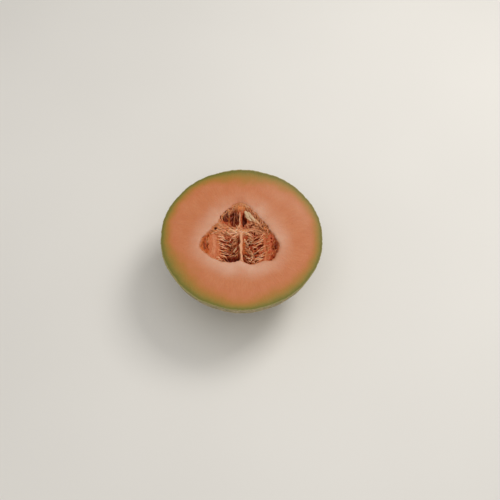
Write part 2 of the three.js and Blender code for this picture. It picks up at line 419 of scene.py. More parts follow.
rind_ways = [ring_ways(angle) for angle in np.linspace(rest_angle, cut_angle, RIND_RINGS)]
rind_counts = [len(ring) for ring in rind_ways]
all_ways = np.concatenate(rind_ways)
ridge, fine = net_over(all_ways)
crust = CRUST * lumps(all_ways * EQUATOR_RADIUS, 1.3, seed=70) * ridge
dimple = DIMPLE * lumps(all_ways * EQUATOR_RADIUS, 5.0, seed=71)
lift = np.maximum(NET_HEIGHT * ridge + crust, FINE_HEIGHT * fine) + dimple * (1 - ridge)
under_rim = CUT - EQUATOR_Z - AXIAL_RADIUS * all_ways[:, 2]
lift = np.minimum(lift, NET_HEIGHT) * mix(RIM_NET, 1.0, step(0.0, RIM_FADE, under_rim))
rind = skin(all_ways, lift + SKIN_LIFT)
rind_cork = np.maximum(ridge, FINE_CORK * fine)
print("rind", len(rind), "points, net up to", round(float(lift.max()), 2), "mm")

# %% The rim, which the knife left level
BEVEL = 0.25
rim = rind[-RIM_POINTS:]
rim_turn = np.arctan2(rim[:, 1], rim[:, 0])
rim_radius = np.hypot(rim[:, 0], rim[:, 1])
rim[:, 2] = CUT - BEVEL
rind[:, 2] = np.maximum(rind[:, 2], 0)
rind[: rind_counts[0], 2] = 0
rind[:, :2] = np.clip(rind[:, :2], np.array(cad_low)[:2] / MM, np.array(cad_high)[:2] / MM)
print("rim from", round(rim_radius.min(), 1), "to", round(rim_radius.max(), 1), "mm")

# %% The resting spot, with the scar of the blossom
SPOT_RINGS = 7
SCAR_DISH = 0.5
SPOKE_DRAWN = (1.5, 1.5, 0)
SPOKE_SIZE = 2.4
spot_radius = np.hypot(*rind[: rind_counts[0], :2].T).mean()
spot = [np.array([[0, 0, SCAR_DISH]])]
for share in np.arange(1, SPOT_RINGS) / SPOT_RINGS:
    ring = rind[: rind_counts[0]] * (share, share, 0)
    spokes = 0.5 + 0.5 * lumps(ring * SPOKE_DRAWN / share, SPOKE_SIZE, seed=72)
    ring[:, 2] = SCAR_DISH * (1 - step(0.3, 0.75, share)) * (0.5 + 0.5 * spokes)
    spot.append(ring)
spot_counts = [len(ring) for ring in spot]
spot = np.concatenate(spot)
print("resting spot", round(2 * spot_radius, 1), "mm across")

# %% Rings of the cut face, from the rim in to the hollow
UNDER_SKIN = [0.25, 0.6, 1.0, 1.5, 2.1, 2.9, 4.0, 5.5, 7.5, 10.0]
FROM_HOLLOW = [8.0, 6.0, 4.4, 3.2, 2.2, 1.4, 0.8, 0.35, 0.0]
MIDDLE_RINGS = 9
edge = hollow_edge(rim_turn)
across = edge - rim[:, :2]
width = np.linalg.norm(across, axis=1)
middle_shares = np.arange(1, MIDDLE_RINGS + 1) / (MIDDLE_RINGS + 1)
insets = [np.full_like(width, inset) for inset in UNDER_SKIN]
insets += [mix(UNDER_SKIN[-1], width - FROM_HOLLOW[0], share) for share in middle_shares]
insets += [width - gap for gap in FROM_HOLLOW]
cut_flat = np.concatenate([rim[:, :2] + across * (i / width)[:, None] for i in insets])
cut_gap = np.concatenate([width - inset for inset in insets])
cut_counts = [RIM_POINTS] * len(insets)
print("cut face", len(cut_flat), "points, flesh", round(width.min(), 1), "to", round(width.max(), 1), "mm")

# %% Relief of the cut face: knife drag, torn fibres and a soft edge at the hollow
KNIFE_WAY = np.array([0.26, 0.97])
KNIFE_WAVE = 7.0
KNIFE_DEPTH = 0.07
KNIFE_SWAY = 1.2
TEAR_DEPTH = 0.12
EDGE_ROUND = 3.4
EDGE_DROP = 1.1
drag = cut_flat @ KNIFE_WAY + KNIFE_SWAY * lumps(level(cut_flat), 18.0, seed=80)
knife = 0.5 - 0.5 * np.cos(2 * math.pi * drag / KNIFE_WAVE)
tear = 0.5 + 0.5 * lumps(level(cut_flat), 1.6, seed=81)
soft = np.clip(1 - cut_gap / EDGE_ROUND, 0, 1) ** 2
cut_down = KNIFE_DEPTH * knife + TEAR_DEPTH * tear * step(1.0, 5.0, cut_gap + 2) + EDGE_DROP * soft
cut_down[:RIM_POINTS] = 0
cut_face = np.column_stack([cut_flat, CUT - cut_down])
print("cut face at most", round(cut_down.max(), 2), "mm below the level")

# %% Wall of the hollow, from the cut down to its round bottom
WALL_ANGLES = np.radians([2.2, 4, 6.5, 9.5, 13, 17, 22, 28, 35, 43, 52, 61, 70, 78, 84])
WALL_HALF_FROM = 6
WALL_GRAIN = 0.35
WALL_FLOOR = 0.4
wall = []
for order, angle in enumerate(WALL_ANGLES):
    turn = rim_turn if order < WALL_HALF_FROM else rim_turn[::2]
    ring = HOLLOW_MIDDLE + (hollow_edge(turn) - HOLLOW_MIDDLE) * math.cos(angle)
    ring = np.column_stack([ring, np.full(len(turn), CUT - HOLLOW_DEPTH * math.sin(angle))])
    grain = WALL_GRAIN + WALL_GRAIN * lumps(ring * (1, 1, 0.3), 2.0, seed=82)
    grain = grain * step(4.0, 10.0, CUT - ring[:, 2])
    wall.append(ring + unit(ring - (*HOLLOW_MIDDLE, CUT)) * grain[:, None])
wall_counts = [len(ring) for ring in wall] + [1]
wall = np.concatenate(wall + [np.array([[*HOLLOW_MIDDLE, CUT - HOLLOW_DEPTH - WALL_FLOOR]])])
print("hollow wall", len(wall), "points")

# %% How green and how pale the flesh is, from place to place, with painted shade and a painted sheen
CLOCK = range(0, 360, 30)
# Widths of the green band by the clock. At 210 and 240 degrees, the near left, the band is drawn wider, so
# the rim there is painted darker: painted shade.
BAND_WIDTHS_WITH_SHADE = [0.98, 0.97, 1.4, 1.9, 1.0, 0.97, 1.08, 2.0, 1.62, 1.12, 1.54, 1.1]
RING_STRENGTHS = [0.8, 0.7, 0.85, 0.3, 0.6, 0.85, 0.65, 0.65, 0.95, 1.1, 0.95, 0.45]
RING_REACH = 0.45
SHEEN_WAY = np.array([0.7, 0.714])
FAR_RIGHT_SHEEN = 0.3
RIM_SHEEN = 0.25
RIM_SHEEN_FADE = 16.0
FAR_CORNER = (0, 37)
FAR_CORNER_DEPTH = 1.7
half_points = np.concatenate([spot, rind, cut_face, wall])
rind_part = len(spot) + len(rind)
radius = np.hypot(half_points[:, 0], half_points[:, 1])
around = np.arctan2(half_points[:, 1], half_points[:, 0])
rim_order = np.argsort(rim_turn)
rim_there = np.interp(around, rim_turn[rim_order], rim_radius[rim_order], period=2 * math.pi)
band_width_with_shade = round_curve([*zip(CLOCK, BAND_WIDTHS_WITH_SHADE)], around)
skin_depth = np.maximum(rim_there - radius, 0) / band_width_with_shade
out_share = cut_gap / np.tile(width, len(insets))
out_share = np.concatenate([np.ones(rind_part), out_share, np.zeros(len(wall))])
pale_ring = 1 - step(0.01, RING_REACH, out_share + 0.04 * lumps(half_points, 12.0, seed=86))
pale_ring = pale_ring * round_curve([*zip(CLOCK, RING_STRENGTHS)], around)
pale_ring = pale_ring * (0.95 + 0.15 * lumps(half_points, 14.0, seed=83))
# Painted sheen: the far right of the cut is painted paler, less so close to the rim.
far_right_sheen = step(0.45, 0.95, half_points[:, :2] @ SHEEN_WAY / EQUATOR_RADIUS)
far_right_sheen = far_right_sheen * mix(RIM_SHEEN, 1.0, step(0.0, RIM_SHEEN_FADE, skin_depth))
far_corner = 1 - step(2.0, 9.0, np.linalg.norm(cut_flat - HOLLOW_MIDDLE - FAR_CORNER, axis=1))
print("green band", round(band_width_with_shade.min(), 2), "to", round(band_width_with_shade.max(), 2), "of its usual width")

# %% One closed mesh for the half
RAYS = 60.0
RAY_DRAWN = 7.0
SPOT_CORK = 0.55
half_counts = spot_counts + rind_counts + cut_counts + wall_counts
no_cork = np.zeros(len(half_points) - rind_part - RIM_POINTS)
half_values = {
    "ray_east": np.cos(around) * RAYS,
    "ray_north": np.sin(around) * RAYS,
    "ray_along": radius / RAY_DRAWN,
    "cork": np.concatenate([np.full(len(spot), SPOT_CORK), rind_cork, rind_cork[-RIM_POINTS:], no_cork]),
    "skin_depth": skin_depth,
    # The pale ring round the hollow is the flesh's own; the far right adds a painted sheen.
    "paleness_and_sheen": np.clip(pale_ring + FAR_RIGHT_SHEEN * far_right_sheen, 0, 1),
    "below_cut": np.concatenate([np.zeros(rind_part), FAR_CORNER_DEPTH * far_corner, CUT - wall[:, 2]]),
}
half = make_piece("netted_half", half_points, stitch(half_counts), half_values)
slots = np.ones(len(half.data.polygons), np.int32)
slots[: len(stitch(spot_counts + rind_counts))] = 0
half.data.polygons.foreach_set("material_index", slots)
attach(half, "root")
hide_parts("melon_half")

# %% [markdown]
# ## Lie of the seed pulp
#
# The pulp is not a smooth fill. A pale wall of placenta, the septum, runs from the middle to the near
# side. On both sides of it the pulp drops into brown pockets where the seeds hang. Further out come
# fingers of pulp with dark gaps between them, then smooth curtains of flesh nearly as high as the
# cut. At the far corner the pulp runs up into the flesh. All this is a depth below the cut over the
# plane, built up zone by zone, with x to the right and y away from the viewer, measured from the
# placenta's middle. A sculpted mesh would be freer, but a rule can be read and changed.


# %% Soft shapes in the plane
def patch(flat, middle, size):
    """A soft round spot: 1 in its middle and 0 outside."""
    return 1 - step(0.6, 1.15, np.hypot(*((flat - middle) / size).T))


def band(value, low, high, soft):
    """1 between low and high, with soft ends."""
    return step(low - soft, low + soft, value) * (1 - step(high - soft, high + soft, value))


def along_line(flat, line, width):
    """A soft band along a line of corners."""
    gap = np.full(len(flat), np.inf)
    for start, end in zip(np.array(line[:-1], float), np.array(line[1:], float)):
        way = end - start
        share = np.clip((flat - start) @ way / (way @ way), 0, 1)
        gap = np.minimum(gap, np.linalg.norm(flat - start - share[:, None] * way, axis=1))
    return 1 - step(0.45 * width, 1.1 * width, gap)


def drawn_out(flat, degrees, length, width):
    """The plane measured along and across one direction, in lengths and widths."""
    c, s = math.cos(math.radians(degrees)), math.sin(math.radians(degrees))
    return flat @ np.array([[c / length, -s / width], [s / length, c / width]])


def fanned(flat, middle, spread, drawn):
    """The plane measured round a middle and out from it, for a pattern that runs in rays."""
    out = flat - middle
    return np.stack([np.arctan2(out[:, 1], out[:, 0]) * spread, np.hypot(*out.T) / drawn], axis=1)


print("a patch at nine tenths of its size", patch(np.array([[0.9, 0.0]]), (0, 0), (1, 1)).round(2))

# %% Where each kind of pulp is
HUB = np.array([-0.3, 2.6])
STRIPS = {
    "curtain_left": ((-32, -20, 1.2), (-34, 2, 3)),
    "curtain_right": ((21, 30, 1.2), (-34, 2, 3)),
    "amber_strip": ((-34.0, -30.2, 0.9), (-23, 2, 3)),
    "septum_side": ((1.4, 5.0, 1.0), (-21, -4, 2)),
    "plain_right": ((24.5, 31, 1.5), (-30, 2, 3)),
    "pale_streak": ((-27.5, -24, 1.2), (-22, 1, 4)),
}
STRAYED_SPOTS = {
    "right_tip": [((37.3, -14.0), (3.6, 5.2))],
    "fan_left": [((-13, 4), (14, 7))],
    "fan_right": [((15, 8), (14, 10.5))],
    "tan_left": [((-24, 8.5), (9, 6.5))],
    "seed_pit": [((-15.6, 21.3), (3.7, 6.8)), ((-6.9, 19.2), (5.2, 10.5))],
    "pale_nest": [((8, 22), (7, 5.5))],
    "apex": [((0, 34), (12, 7.5))],
}
FIXED_SPOTS = {
    "hub": [(HUB, (5.5, 4.5))],
    "hole": [((3.4, 16.2), (2.3, 4.2)), ((2.2, 17), (1.2, 8.0))],
}
UPPER_SPINE = [(-0.6, 4), (-1.6, 9), (-1.0, 15), (-1.7, 20), (-1.3, 24.5)]
SEPTUM = [(-0.3, 3), (-0.4, -4), (0.2, -9), (-0.3, -15), (0.1, -21), (-0.2, -32)]
LEFT_FOLD = [(-32, 4), (-33, -2), (-33.3, -6), (-33.5, -11.5), (-31, -17)]
RIGHT_FOLD = [(31.5, -9), (31.2, -15), (30.5, -21), (29.5, -26)]
SHALLOW_FOLD = [(23.3, -2), (24, -9), (24.4, -18)]
print(len(STRIPS), "strips and", len(STRAYED_SPOTS) + len(FIXED_SPOTS), "kinds of spots")


# %% Masks of the kinds of pulp
def broken(spots, size, low, high, seed):
    """A mask that interrupts a fold here and there."""
    return step(low, high, lumps(spots, size, seed))


def pulp_zones(flat):
    """Masks from 0 to 1 for the kinds of pulp, at points of the plane."""
    spots = level(flat)
    strayed = flat + np.stack([lumps(spots, 4.0, seed=90), lumps(spots, 4.0, seed=91)], axis=1)
    x, y = strayed.T
    near = 1 - step(-5, -1, y)
    septum_foot = 2.0 * (1 - step(-32, -25, flat[:, 1]))
    septum_width = 1.9 + 0.6 * lumps(spots, 3.0, seed=97) + septum_foot
    spine_width = mix(2.6, 1.0, step(5, 14, flat[:, 1])) + 0.4 * lumps(spots, 2.5, seed=93)
    zones = {name: band(x, *wide) * band(y, *long) for name, (wide, long) in STRIPS.items()}
    for places, kinds in ((strayed, STRAYED_SPOTS), (flat, FIXED_SPOTS)):
        for name, group in kinds.items():
            zones[name] = np.max([patch(places, *one) for one in group], axis=0)
    zones["seeds"] = band(np.abs(x), 1.5, 10.5, 1.5) * near
    zones["fingers_left"] = band(x, -20, -10.5, 1.5) * near
    zones["fingers_right"] = band(x, 11, 21, 1.5) * near
    zones["corner_left"] = 1 - step(-35, -33, x)
    zones["corner_right"] = step(31, 33, x)
    zones["left_fold"] = along_line(strayed, LEFT_FOLD, 0.95) * broken(spots, 2.2, -0.6, 0.2, seed=98)
    zones["right_fold"] = along_line(strayed, RIGHT_FOLD, 2.4) * broken(spots, 3.4, -0.7, 0.5, seed=99)
    zones["shallow_fold"] = along_line(strayed, SHALLOW_FOLD, 0.8) * broken(spots, 3.0, -0.4, 0.3, seed=89)
    zones["upper_spine"] = along_line(mix(flat, strayed, 0.8), UPPER_SPINE, spine_width)
    zones["septum"] = along_line(mix(flat, strayed, 0.7), SEPTUM, septum_width)
    return zones


print(len(pulp_zones(np.zeros((1, 2)))), "masks of the pulp")

# %% Depths of the zones, and the tears, gaps and dots in them
PULP_BASE_DEPTH = 3.6
PULP_DEPTHS = {
    "seeds": 4.7, "fingers_left": 3.7, "fingers_right": 3.7, "curtain_left": 2.6, "curtain_right": 2.7,
    "corner_left": 2.6, "corner_right": 3.9, "right_tip": 1.6, "septum_side": 2.6, "fan_left": 2.5,
    "fan_right": 3.1, "tan_left": 2.1, "seed_pit": 6.0, "pale_nest": 3.4, "apex": 1.0, "hub": 1.4,
    "hole": 8.0, "upper_spine": 1.7, "left_fold": 3.3, "right_fold": 5.2, "shallow_fold": 3.4,
    "septum": 0.8,
}
# A tear: zone, share, where it starts and is full, then direction, length, width and seed.
TEARS = [
    ("fingers_left", 1.0, 0.05, 0.5, -12, 3.4, 1.0, 100),
    ("fingers_right", 1.0, 0.05, 0.5, 20, 3.4, 1.0, 101),
    ("fan_right", 0.6, 0.1, 0.55, -40, 3.0, 0.9, 102),
    ("fan_left", 0.5, 0.15, 0.6, -15, 3.6, 0.9, 103),
    ("seeds", 0.5, -0.2, 0.5, 35, 2.6, 1.1, 104),
]
# A gap: its middle, half its length and width, its direction and how deep it goes.
GAPS = [
    (-15.5, -4.7, 2.2, 0.9, -5, 6), (-15, -8.3, 1.9, 0.8, -15, 6), (-14.5, -11.6, 2.2, 0.9, -20, 6.5),
    (-17.7, -15.5, 2.4, 0.7, -10, 5), (-16.7, -19.1, 2.0, 0.9, -25, 6), (-14.3, -21.3, 2.4, 1.0, -20, 6.5),
    (-17.6, -25.8, 2.8, 1.0, 0, 6), (-11.5, -26.3, 6.0, 2.6, -4, 8), (-5.0, -26.6, 4.0, 2.4, 6, 8),
    (-10.7, -8.8, 1.8, 1.6, 40, 7.5), (-10.6, -15, 1.4, 2.2, 10, 7.5), (-6.8, -14.3, 2.2, 1.4, 30, 7.5),
    (13.3, -2.8, 1.6, 0.8, 15, 6), (16.2, -4.1, 2.6, 0.8, 25, 6.5), (12.3, -6.3, 1.4, 0.8, 5, 6),
    (15.6, -9.7, 2.1, 0.9, 20, 6.5), (18, -12.9, 2.8, 0.9, 25, 6), (14.6, -19.4, 2.6, 1.1, -15, 7),
    (16.9, -22.7, 2.6, 1.0, 10, 6.5), (7, -9.5, 1.5, 1.1, 0, 7.5), (8.4, -17, 2.2, 1.2, -15, 7.5),
    (3.7, -21.9, 2.0, 1.3, 20, 7.5), (13.2, -14.8, 1.4, 1.1, 0, 7),
    (26.2, 3.9, 0.75, 0.75, 0, 5.5), (28.9, -3.8, 0.8, 0.8, 0, 6), (28.9, -7.5, 0.8, 0.7, 0, 5.5),
    (31.2, -6.3, 0.8, 0.6, 0, 5.0), (11, 11.3, 2.0, 0.9, 20, 7), (8.6, 8.5, 1.4, 0.8, 10, 6.5),
    (20.7, 9.6, 0.6, 2.6, 0, 5.5), (12.7, 1.7, 0.6, 1.9, -5, 5.5), (-24.8, 7, 1.1, 2.4, -22, 7),
    (-32.6, -5.5, 0.7, 1.6, 8, 5.0), (-32.4, -10.5, 0.6, 2.0, -6, 5.0), (-31.6, -1.0, 0.6, 1.4, -12, 4.6),
    (-34.6, -14.2, 0.7, 1.3, 20, 4.6), (-36.4, -8.0, 0.6, 1.2, 0, 4.2), (32.4, -12.0, 0.7, 1.4, 10, 6.0),
    (34.0, -18.5, 0.8, 1.8, 15, 6.0), (31.5, -24.5, 1.2, 1.4, 30, 6.5), (28.0, -27.0, 1.6, 0.8, 30, 5.5),
    (-21.6, 19.8, 0.9, 2.0, -25, 5.5), (-28.5, 9, 2.2, 0.9, 42, 4.5), (-23.6, 11.5, 0.8, 1.4, -20, 4.5),
]
print(len(PULP_DEPTHS), "depths,", len(GAPS), "gaps and dots")

# %% Depth of the pulp's surface
TEAR_DROP = 2.4
CURTAIN_STREAK = 0.35
FAN_STREAK = 0.4
FAN_MIDDLE = (0, 3)
EDGE_DEPTH = 1.1
EDGE_WIDTH = 2.4
LEAST_DEPTH = 0.5
MOST_DEPTH = 11


def pulp_depth(flat):
    """Depth of the pulp's surface below the cut, and the masks it was made from."""
    zones = pulp_zones(flat)
    spots = level(flat)
    depth = np.full(len(flat), PULP_BASE_DEPTH)
    for name, there in PULP_DEPTHS.items():
        depth = mix(depth, there, zones[name])
    torn = np.zeros(len(flat))
    for name, share, low, high, *drawn, seed in TEARS:
        torn += share * zones[name] * step(low, high, lumps(level(drawn_out(flat, *drawn)), 1.0, seed))
    depth = depth + TEAR_DROP * torn * (1 - zones["septum"])
    for x, y, length, width, degrees, there in GAPS:
        off = drawn_out(flat - (x, y), degrees, length, width)
        depth = np.maximum(depth, mix(depth, there, 1 - step(0.5, 1.25, np.hypot(*off.T))))
    curtains = np.maximum(zones["curtain_left"], zones["curtain_right"])
    streaks = lumps(level(drawn_out(flat, 90, 14.0, 1.5)), 1.0, seed=105)
    depth = depth + CURTAIN_STREAK * streaks * curtains
    rough = 1 - 0.8 * np.maximum(curtains, np.maximum(zones["septum"], zones["apex"]))
    depth = depth + rough * (0.5 * lumps(spots, 2.2, seed=94) + 0.25 * lumps(spots, 1.0, seed=95))
    fans = np.maximum(zones["fan_left"], zones["fan_right"])
    depth = depth + FAN_STREAK * fans * lumps(level(fanned(flat, FAN_MIDDLE, 16, 5)), 1.0, seed=106)
    to_wall = hollow_reach(np.arctan2(flat[:, 1], flat[:, 0])) - np.hypot(*flat.T)
    parted = step(0.05, 0.5, lumps(spots, 2.6, seed=96) + mix(-0.35, 0.0, step(-8, 8, flat[:, 1])))
    shut = 1 - parted * (1 - zones["apex"])
    zones["edge"] = shut * (1 - step(0.0, EDGE_WIDTH, to_wall))
    return np.clip(mix(depth, EDGE_DEPTH, zones["edge"]), LEAST_DEPTH, MOST_DEPTH), zones


print("pulp at the hub", pulp_depth(HUB[None])[0].round(1), "mm below the cut")

# %% [markdown]
# ## The bed of pulp
#
# The bed fills the hollow below that surface. It is one closed ring mesh again: up the wall, a hair
# inside the flesh, then in across the surface. Masks stay on its points, so that the material can be
# pale on the septum, orange at the far corner, amber at the left, red at the right and dark in the
# gaps. Two more values run along and across the fibres: they fan out from the hub, and hang straight
# in the curtains, the corners and the septum.

# %% Points of the pulp bed
BED_POINTS = 560
BED_RINGS = 128
BED_CORE = 0.012
BED_GAP = 0.06
BED_WALL = (0.15, 0.4, 0.62, 0.8, 0.92)
bed_edge = hollow_edge(turns(BED_POINTS), BED_GAP) - HOLLOW_MIDDLE
bed_flat = np.concatenate([bed_edge * share for share in np.linspace(1, BED_CORE, BED_RINGS)])
bed_depth, bed_zones = pulp_depth(bed_flat)
bed_top = np.column_stack([bed_flat + HOLLOW_MIDDLE, CUT - bed_depth])
bed_wall = []
for share in BED_WALL:
    lowest = CUT - (HOLLOW_DEPTH - BED_GAP) * math.sqrt(1 - share * share)
    bed_wall.append(np.column_stack([bed_edge * share + HOLLOW_MIDDLE, np.full(BED_POINTS, lowest)]))
bed_bottom = np.array([[*HOLLOW_MIDDLE, CUT - HOLLOW_DEPTH + BED_GAP]])
bed_middle = bed_top[-BED_POINTS:].mean(axis=0, keepdims=True)
bed_points = np.concatenate([bed_bottom, *bed_wall, bed_top, bed_middle])
bed_counts = [1] + [BED_POINTS] * (len(bed_wall) + BED_RINGS) + [1]
under = 1 + len(bed_wall) * BED_POINTS
print("pulp from", round(bed_depth.min(), 1), "to", round(bed_depth.max(), 1), "mm below the cut")

# %% Mesh of the pulp bed
FIBRE_FAN = 12.0
FIBRE_DRAWN = 7.0
BURIED = 9.0


def on_bed(values, below=0):
    """A value for each point of the bed, with one value for all points below its surface."""
    return np.concatenate([np.full(under, below), values, values[-1:]])


def most(*names):
    """The greatest of some masks on the bed."""
    return np.max([bed_zones[name] for name in names], axis=0)


fan_way = fanned(bed_flat, HUB, FIBRE_FAN, FIBRE_DRAWN)
hang_way = np.stack([bed_flat[:, 0], bed_flat[:, 1] / FIBRE_DRAWN], axis=1)
hanging = most("curtain_left", "curtain_right", "corner_left", "corner_right", "septum")[:, None]
fibre_way = mix(fan_way, hang_way, np.round(hanging))
bed_values = {
    "fibre_across": on_bed(fibre_way[:, 0]),
    "fibre_along": on_bed(fibre_way[:, 1]),
    "sunk": on_bed(bed_depth, BURIED),
    "pale": on_bed(np.maximum(most("septum", "hub", "upper_spine"), 0.3 * most("pale_streak"))),
    "orange": on_bed(most("apex", "right_tip")),
    "amber": on_bed(most("septum_side", "corner_left", "amber_strip")),
    "red": on_bed(np.maximum(most("corner_right", "right_fold", "left_fold"), 0.7 * most("plain_right"))),
    "tan": on_bed(np.maximum(most("fan_right", "tan_left", "pale_nest"), 0.7 * most("fan_left"))),
    "edge": on_bed(bed_zones["edge"]),
}
bed = make_piece("pulp_bed", bed_points, stitch(bed_counts), bed_values)
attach(bed, "root")
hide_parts("seed_pulp")

# %% [markdown]
# ## Strands of pulp
#
# Wet strands run from the curtains and the placenta across the pockets. Curves with a bevel would
# do, but each strand here has its own taper and tone, so a short function sweeps a small oval
# along a path and closes both ends. The path is drawn in the plane and then laid over the bed: it
# follows the surface where that stands high and hangs freely over the gaps. All strands go into one
# heap, which becomes one mesh.

# %% Chances for small things, and heaps of them
PULP_SEED = 5
draw = draws_from(PULP_SEED)


def about(middle, spread):
    """A chance value at most a spread away from a middle."""
    return middle + (2 * next(draw) - 1) * spread


def between(low, high):
    """A chance value between two ends."""
    return low + (high - low) * next(draw)


def facing(side, degrees):
    """A direction, mirrored where the side is -1, the left."""
    return degrees if side > 0 else 180 - degrees


def new_heap(*labels):
    return {label: [] for label in ("points", "faces", *labels)}


def gather(heap, points, faces, **values):
    """Adds one small thing to a heap, with a value on each of its points."""
    start = sum(map(len, heap["points"]))
    heap["points"].append(points)
    heap["faces"] += [[start + corner for corner in face] for face in faces]
    for label, data in values.items():
        heap[label].append(data)


def heap_piece(name, heap):
    """One mesh of all that a heap holds."""
    values = {label: np.concatenate(heap[label]) for label in heap if label not in ("points", "faces")}
    return make_piece(name, np.concatenate(heap["points"]), heap["faces"], values)


strands = new_heap("tone", "along", "sunk")
print("strands and seeds draw their chances from seed", PULP_SEED)

# %% The path of a strand
WAVER = 0.3
WAVER_SIZE = 1.8
EDGE_MARGIN = 0.8
EASE_ROUNDS = 2


def trail(start, heading, length, bend, points):
    """Points of the plane along a path that bends by some degrees and wavers a little."""
    turn = np.radians(heading + bend * np.linspace(0, 1, points - 1))
    steps = length / (points - 1) * np.stack([np.cos(turn), np.sin(turn)], axis=1)
    path = np.array(start, float) + np.concatenate([np.zeros((1, 2)), np.cumsum(steps, axis=0)])
    waver = [lumps(level(path), WAVER_SIZE, seed) for seed in (110, 111)]
    return path + WAVER * np.stack(waver, axis=1)


def within_hollow(path):
    """The path, with points outside the hollow drawn in to its edge."""
    reach = hollow_reach(np.arctan2(path[:, 1], path[:, 0])) - EDGE_MARGIN
    return path * np.minimum(1, reach / np.maximum(np.hypot(*path.T), 0.01))[:, None]


def eased(values):
    """Values with their kinks smoothed, ends kept."""
    values = values.copy()
    for _ in range(EASE_ROUNDS):
        values[1:-1] = (values[:-2] + 2 * values[1:-1] + values[2:]) / 4
    return values


print("a trail ends at", trail((0, 0), 0, 10, 30, 14)[-1].round(1))

# %% Sweep one strand
STRAND_SIDES = 7
STRAND_FLATNESS = 0.8
STRAND_LUMPS = 0.28
END_SINK = 0.5
END_TAPER = 14
TOP_MARGIN = 0.45
OPEN_SPOTS = np.array([(-24.8, 7), (11, 11.3), (3.4, 17.5), (3.6, 14.5), (28.9, -3.8), (28.9, -7.5)])
OPEN_RADIUS = 1.5


def add_strand(start, heading, length, bend, thick, thin, tone, rise, sag, root_tone=None, points=14):
    """Lays a strand over the bed, with both ends sunk in, unless it would close a gap."""
    flat = within_hollow(trail(start, heading, length, bend, points))
    if np.linalg.norm(flat[:, None] - OPEN_SPOTS, axis=2).min() < OPEN_RADIUS:
        return
    share = np.linspace(0, 1, points)
    size = mix(thick, thin, share) * (1 + STRAND_LUMPS * lumps(level(flat), 1.3, seed=112))
    size = size * np.sqrt(np.clip(np.minimum(share, 1 - share) * END_TAPER, 0.12, 1))
    lie, _ = pulp_depth(flat)
    chord = mix(lie[0], lie[-1], share) + sag * 4 * share * (1 - share)
    free = np.minimum(lie - rise, chord)
    depth = eased(mix(lie + END_SINK, free, np.sin(math.pi * share) ** 0.5))
    path = np.column_stack([flat + HOLLOW_MIDDLE, CUT - np.maximum(depth, TOP_MARGIN + size)])
    ahead = unit(np.gradient(path, axis=0))
    side = unit(np.cross(ahead, (0.0, 0.0, 1.0)))
    up = np.cross(side, ahead)
    turn = turns(STRAND_SIDES)[None, :, None]
    oval = np.cos(turn) * side[:, None] + STRAND_FLATNESS * np.sin(turn) * up[:, None]
    rings = path[:, None] + oval * size[:, None, None]
    swept = np.concatenate([path[:1], rings.reshape(-1, 3), path[-1:]])
    tones = mix(tone if root_tone is None else root_tone, tone, step(0.05, 0.4, share))
    tones = np.concatenate([tones[:1], np.repeat(tones, STRAND_SIDES), tones[-1:]])
    along = np.concatenate([[0], np.repeat(share, STRAND_SIDES), [1]])
    faces = stitch([1] + [STRAND_SIDES] * points + [1])
    gather(strands, swept, faces, tone=tones, along=along, sunk=CUT - swept[:, 2])


print("strands of", STRAND_SIDES, "sides stay clear of", len(OPEN_SPOTS), "gaps")

# %% Fingers that reach from both curtains towards the septum
STOUT = {"length": (10.5, 3.5), "thin": 0.32, "rise": (0.8, 0.4), "sag": 0.6}
SLIM = {"length": (7, 2.6), "thin": 0.26, "rise": (0.7, 0.5), "sag": 0.5}


def finger_rows(low, high, pitch):
    """Places along a curtain's edge, a chance distance apart."""
    place = low
    while place < high:
        yield place
        place += pitch * (0.55 + 0.9 * next(draw))


def add_fingers(rows, root, heading, bend, thick, tone, root_tone, length, thin, rise, sag):
    """A row of fingers. Pairs are a middle and a spread for chance."""
    for row in finger_rows(*rows):
        add_strand((about(*root), row), about(*heading), about(*length), about(*bend), about(*thick), thin,
                   about(*tone), about(*rise), sag, root_tone)


add_fingers((-26.5, -1.0, 2.4), root=(-21.5, 2.8), heading=(-2, 9), bend=(-30, 26), thick=(0.8, 0.3),
            tone=(0.84, 0.14), root_tone=0.6, **STOUT)
add_fingers((-25, -1.0, 2.3), root=(-18, 3.4), heading=(-8, 15), bend=(-26, 34), thick=(0.52, 0.18),
            tone=(0.72, 0.25), root_tone=0.58, **SLIM)
add_fingers((-24.5, 2.5, 2.4), root=(22.8, 2.6), heading=(202, 9), bend=(14, 26), thick=(0.78, 0.3),
            tone=(0.82, 0.14), root_tone=0.58, **STOUT)
add_fingers((-26, 2.0, 2.3), root=(19, 3.4), heading=(206, 15), bend=(12, 34), thick=(0.5, 0.18),
            tone=(0.7, 0.25), root_tone=0.55, **SLIM)
print(len(strands["points"]), "fingers")

# %% Thin threads and seed stalks in the pockets beside the septum
POCKET_THREADS = 44
POCKET_NEAR = {-1: -22, 1: -30}
for _ in range(POCKET_THREADS):
    for side in (-1, 1):
        add_strand(start=(side * between(2.4, 10.4), between(POCKET_NEAR[side], -3)),
                   heading=facing(side, about(-35, 70)), length=about(5.0, 1.8), bend=about(0, 60),
                   tone=about(0.86, 0.14) if next(draw) < 0.5 else about(0.22, 0.18),
                   thick=about(0.44, 0.12), thin=0.28, rise=about(1.2, 0.8), sag=0.2, points=11)
print(len(strands["points"]), "strands with the pockets")

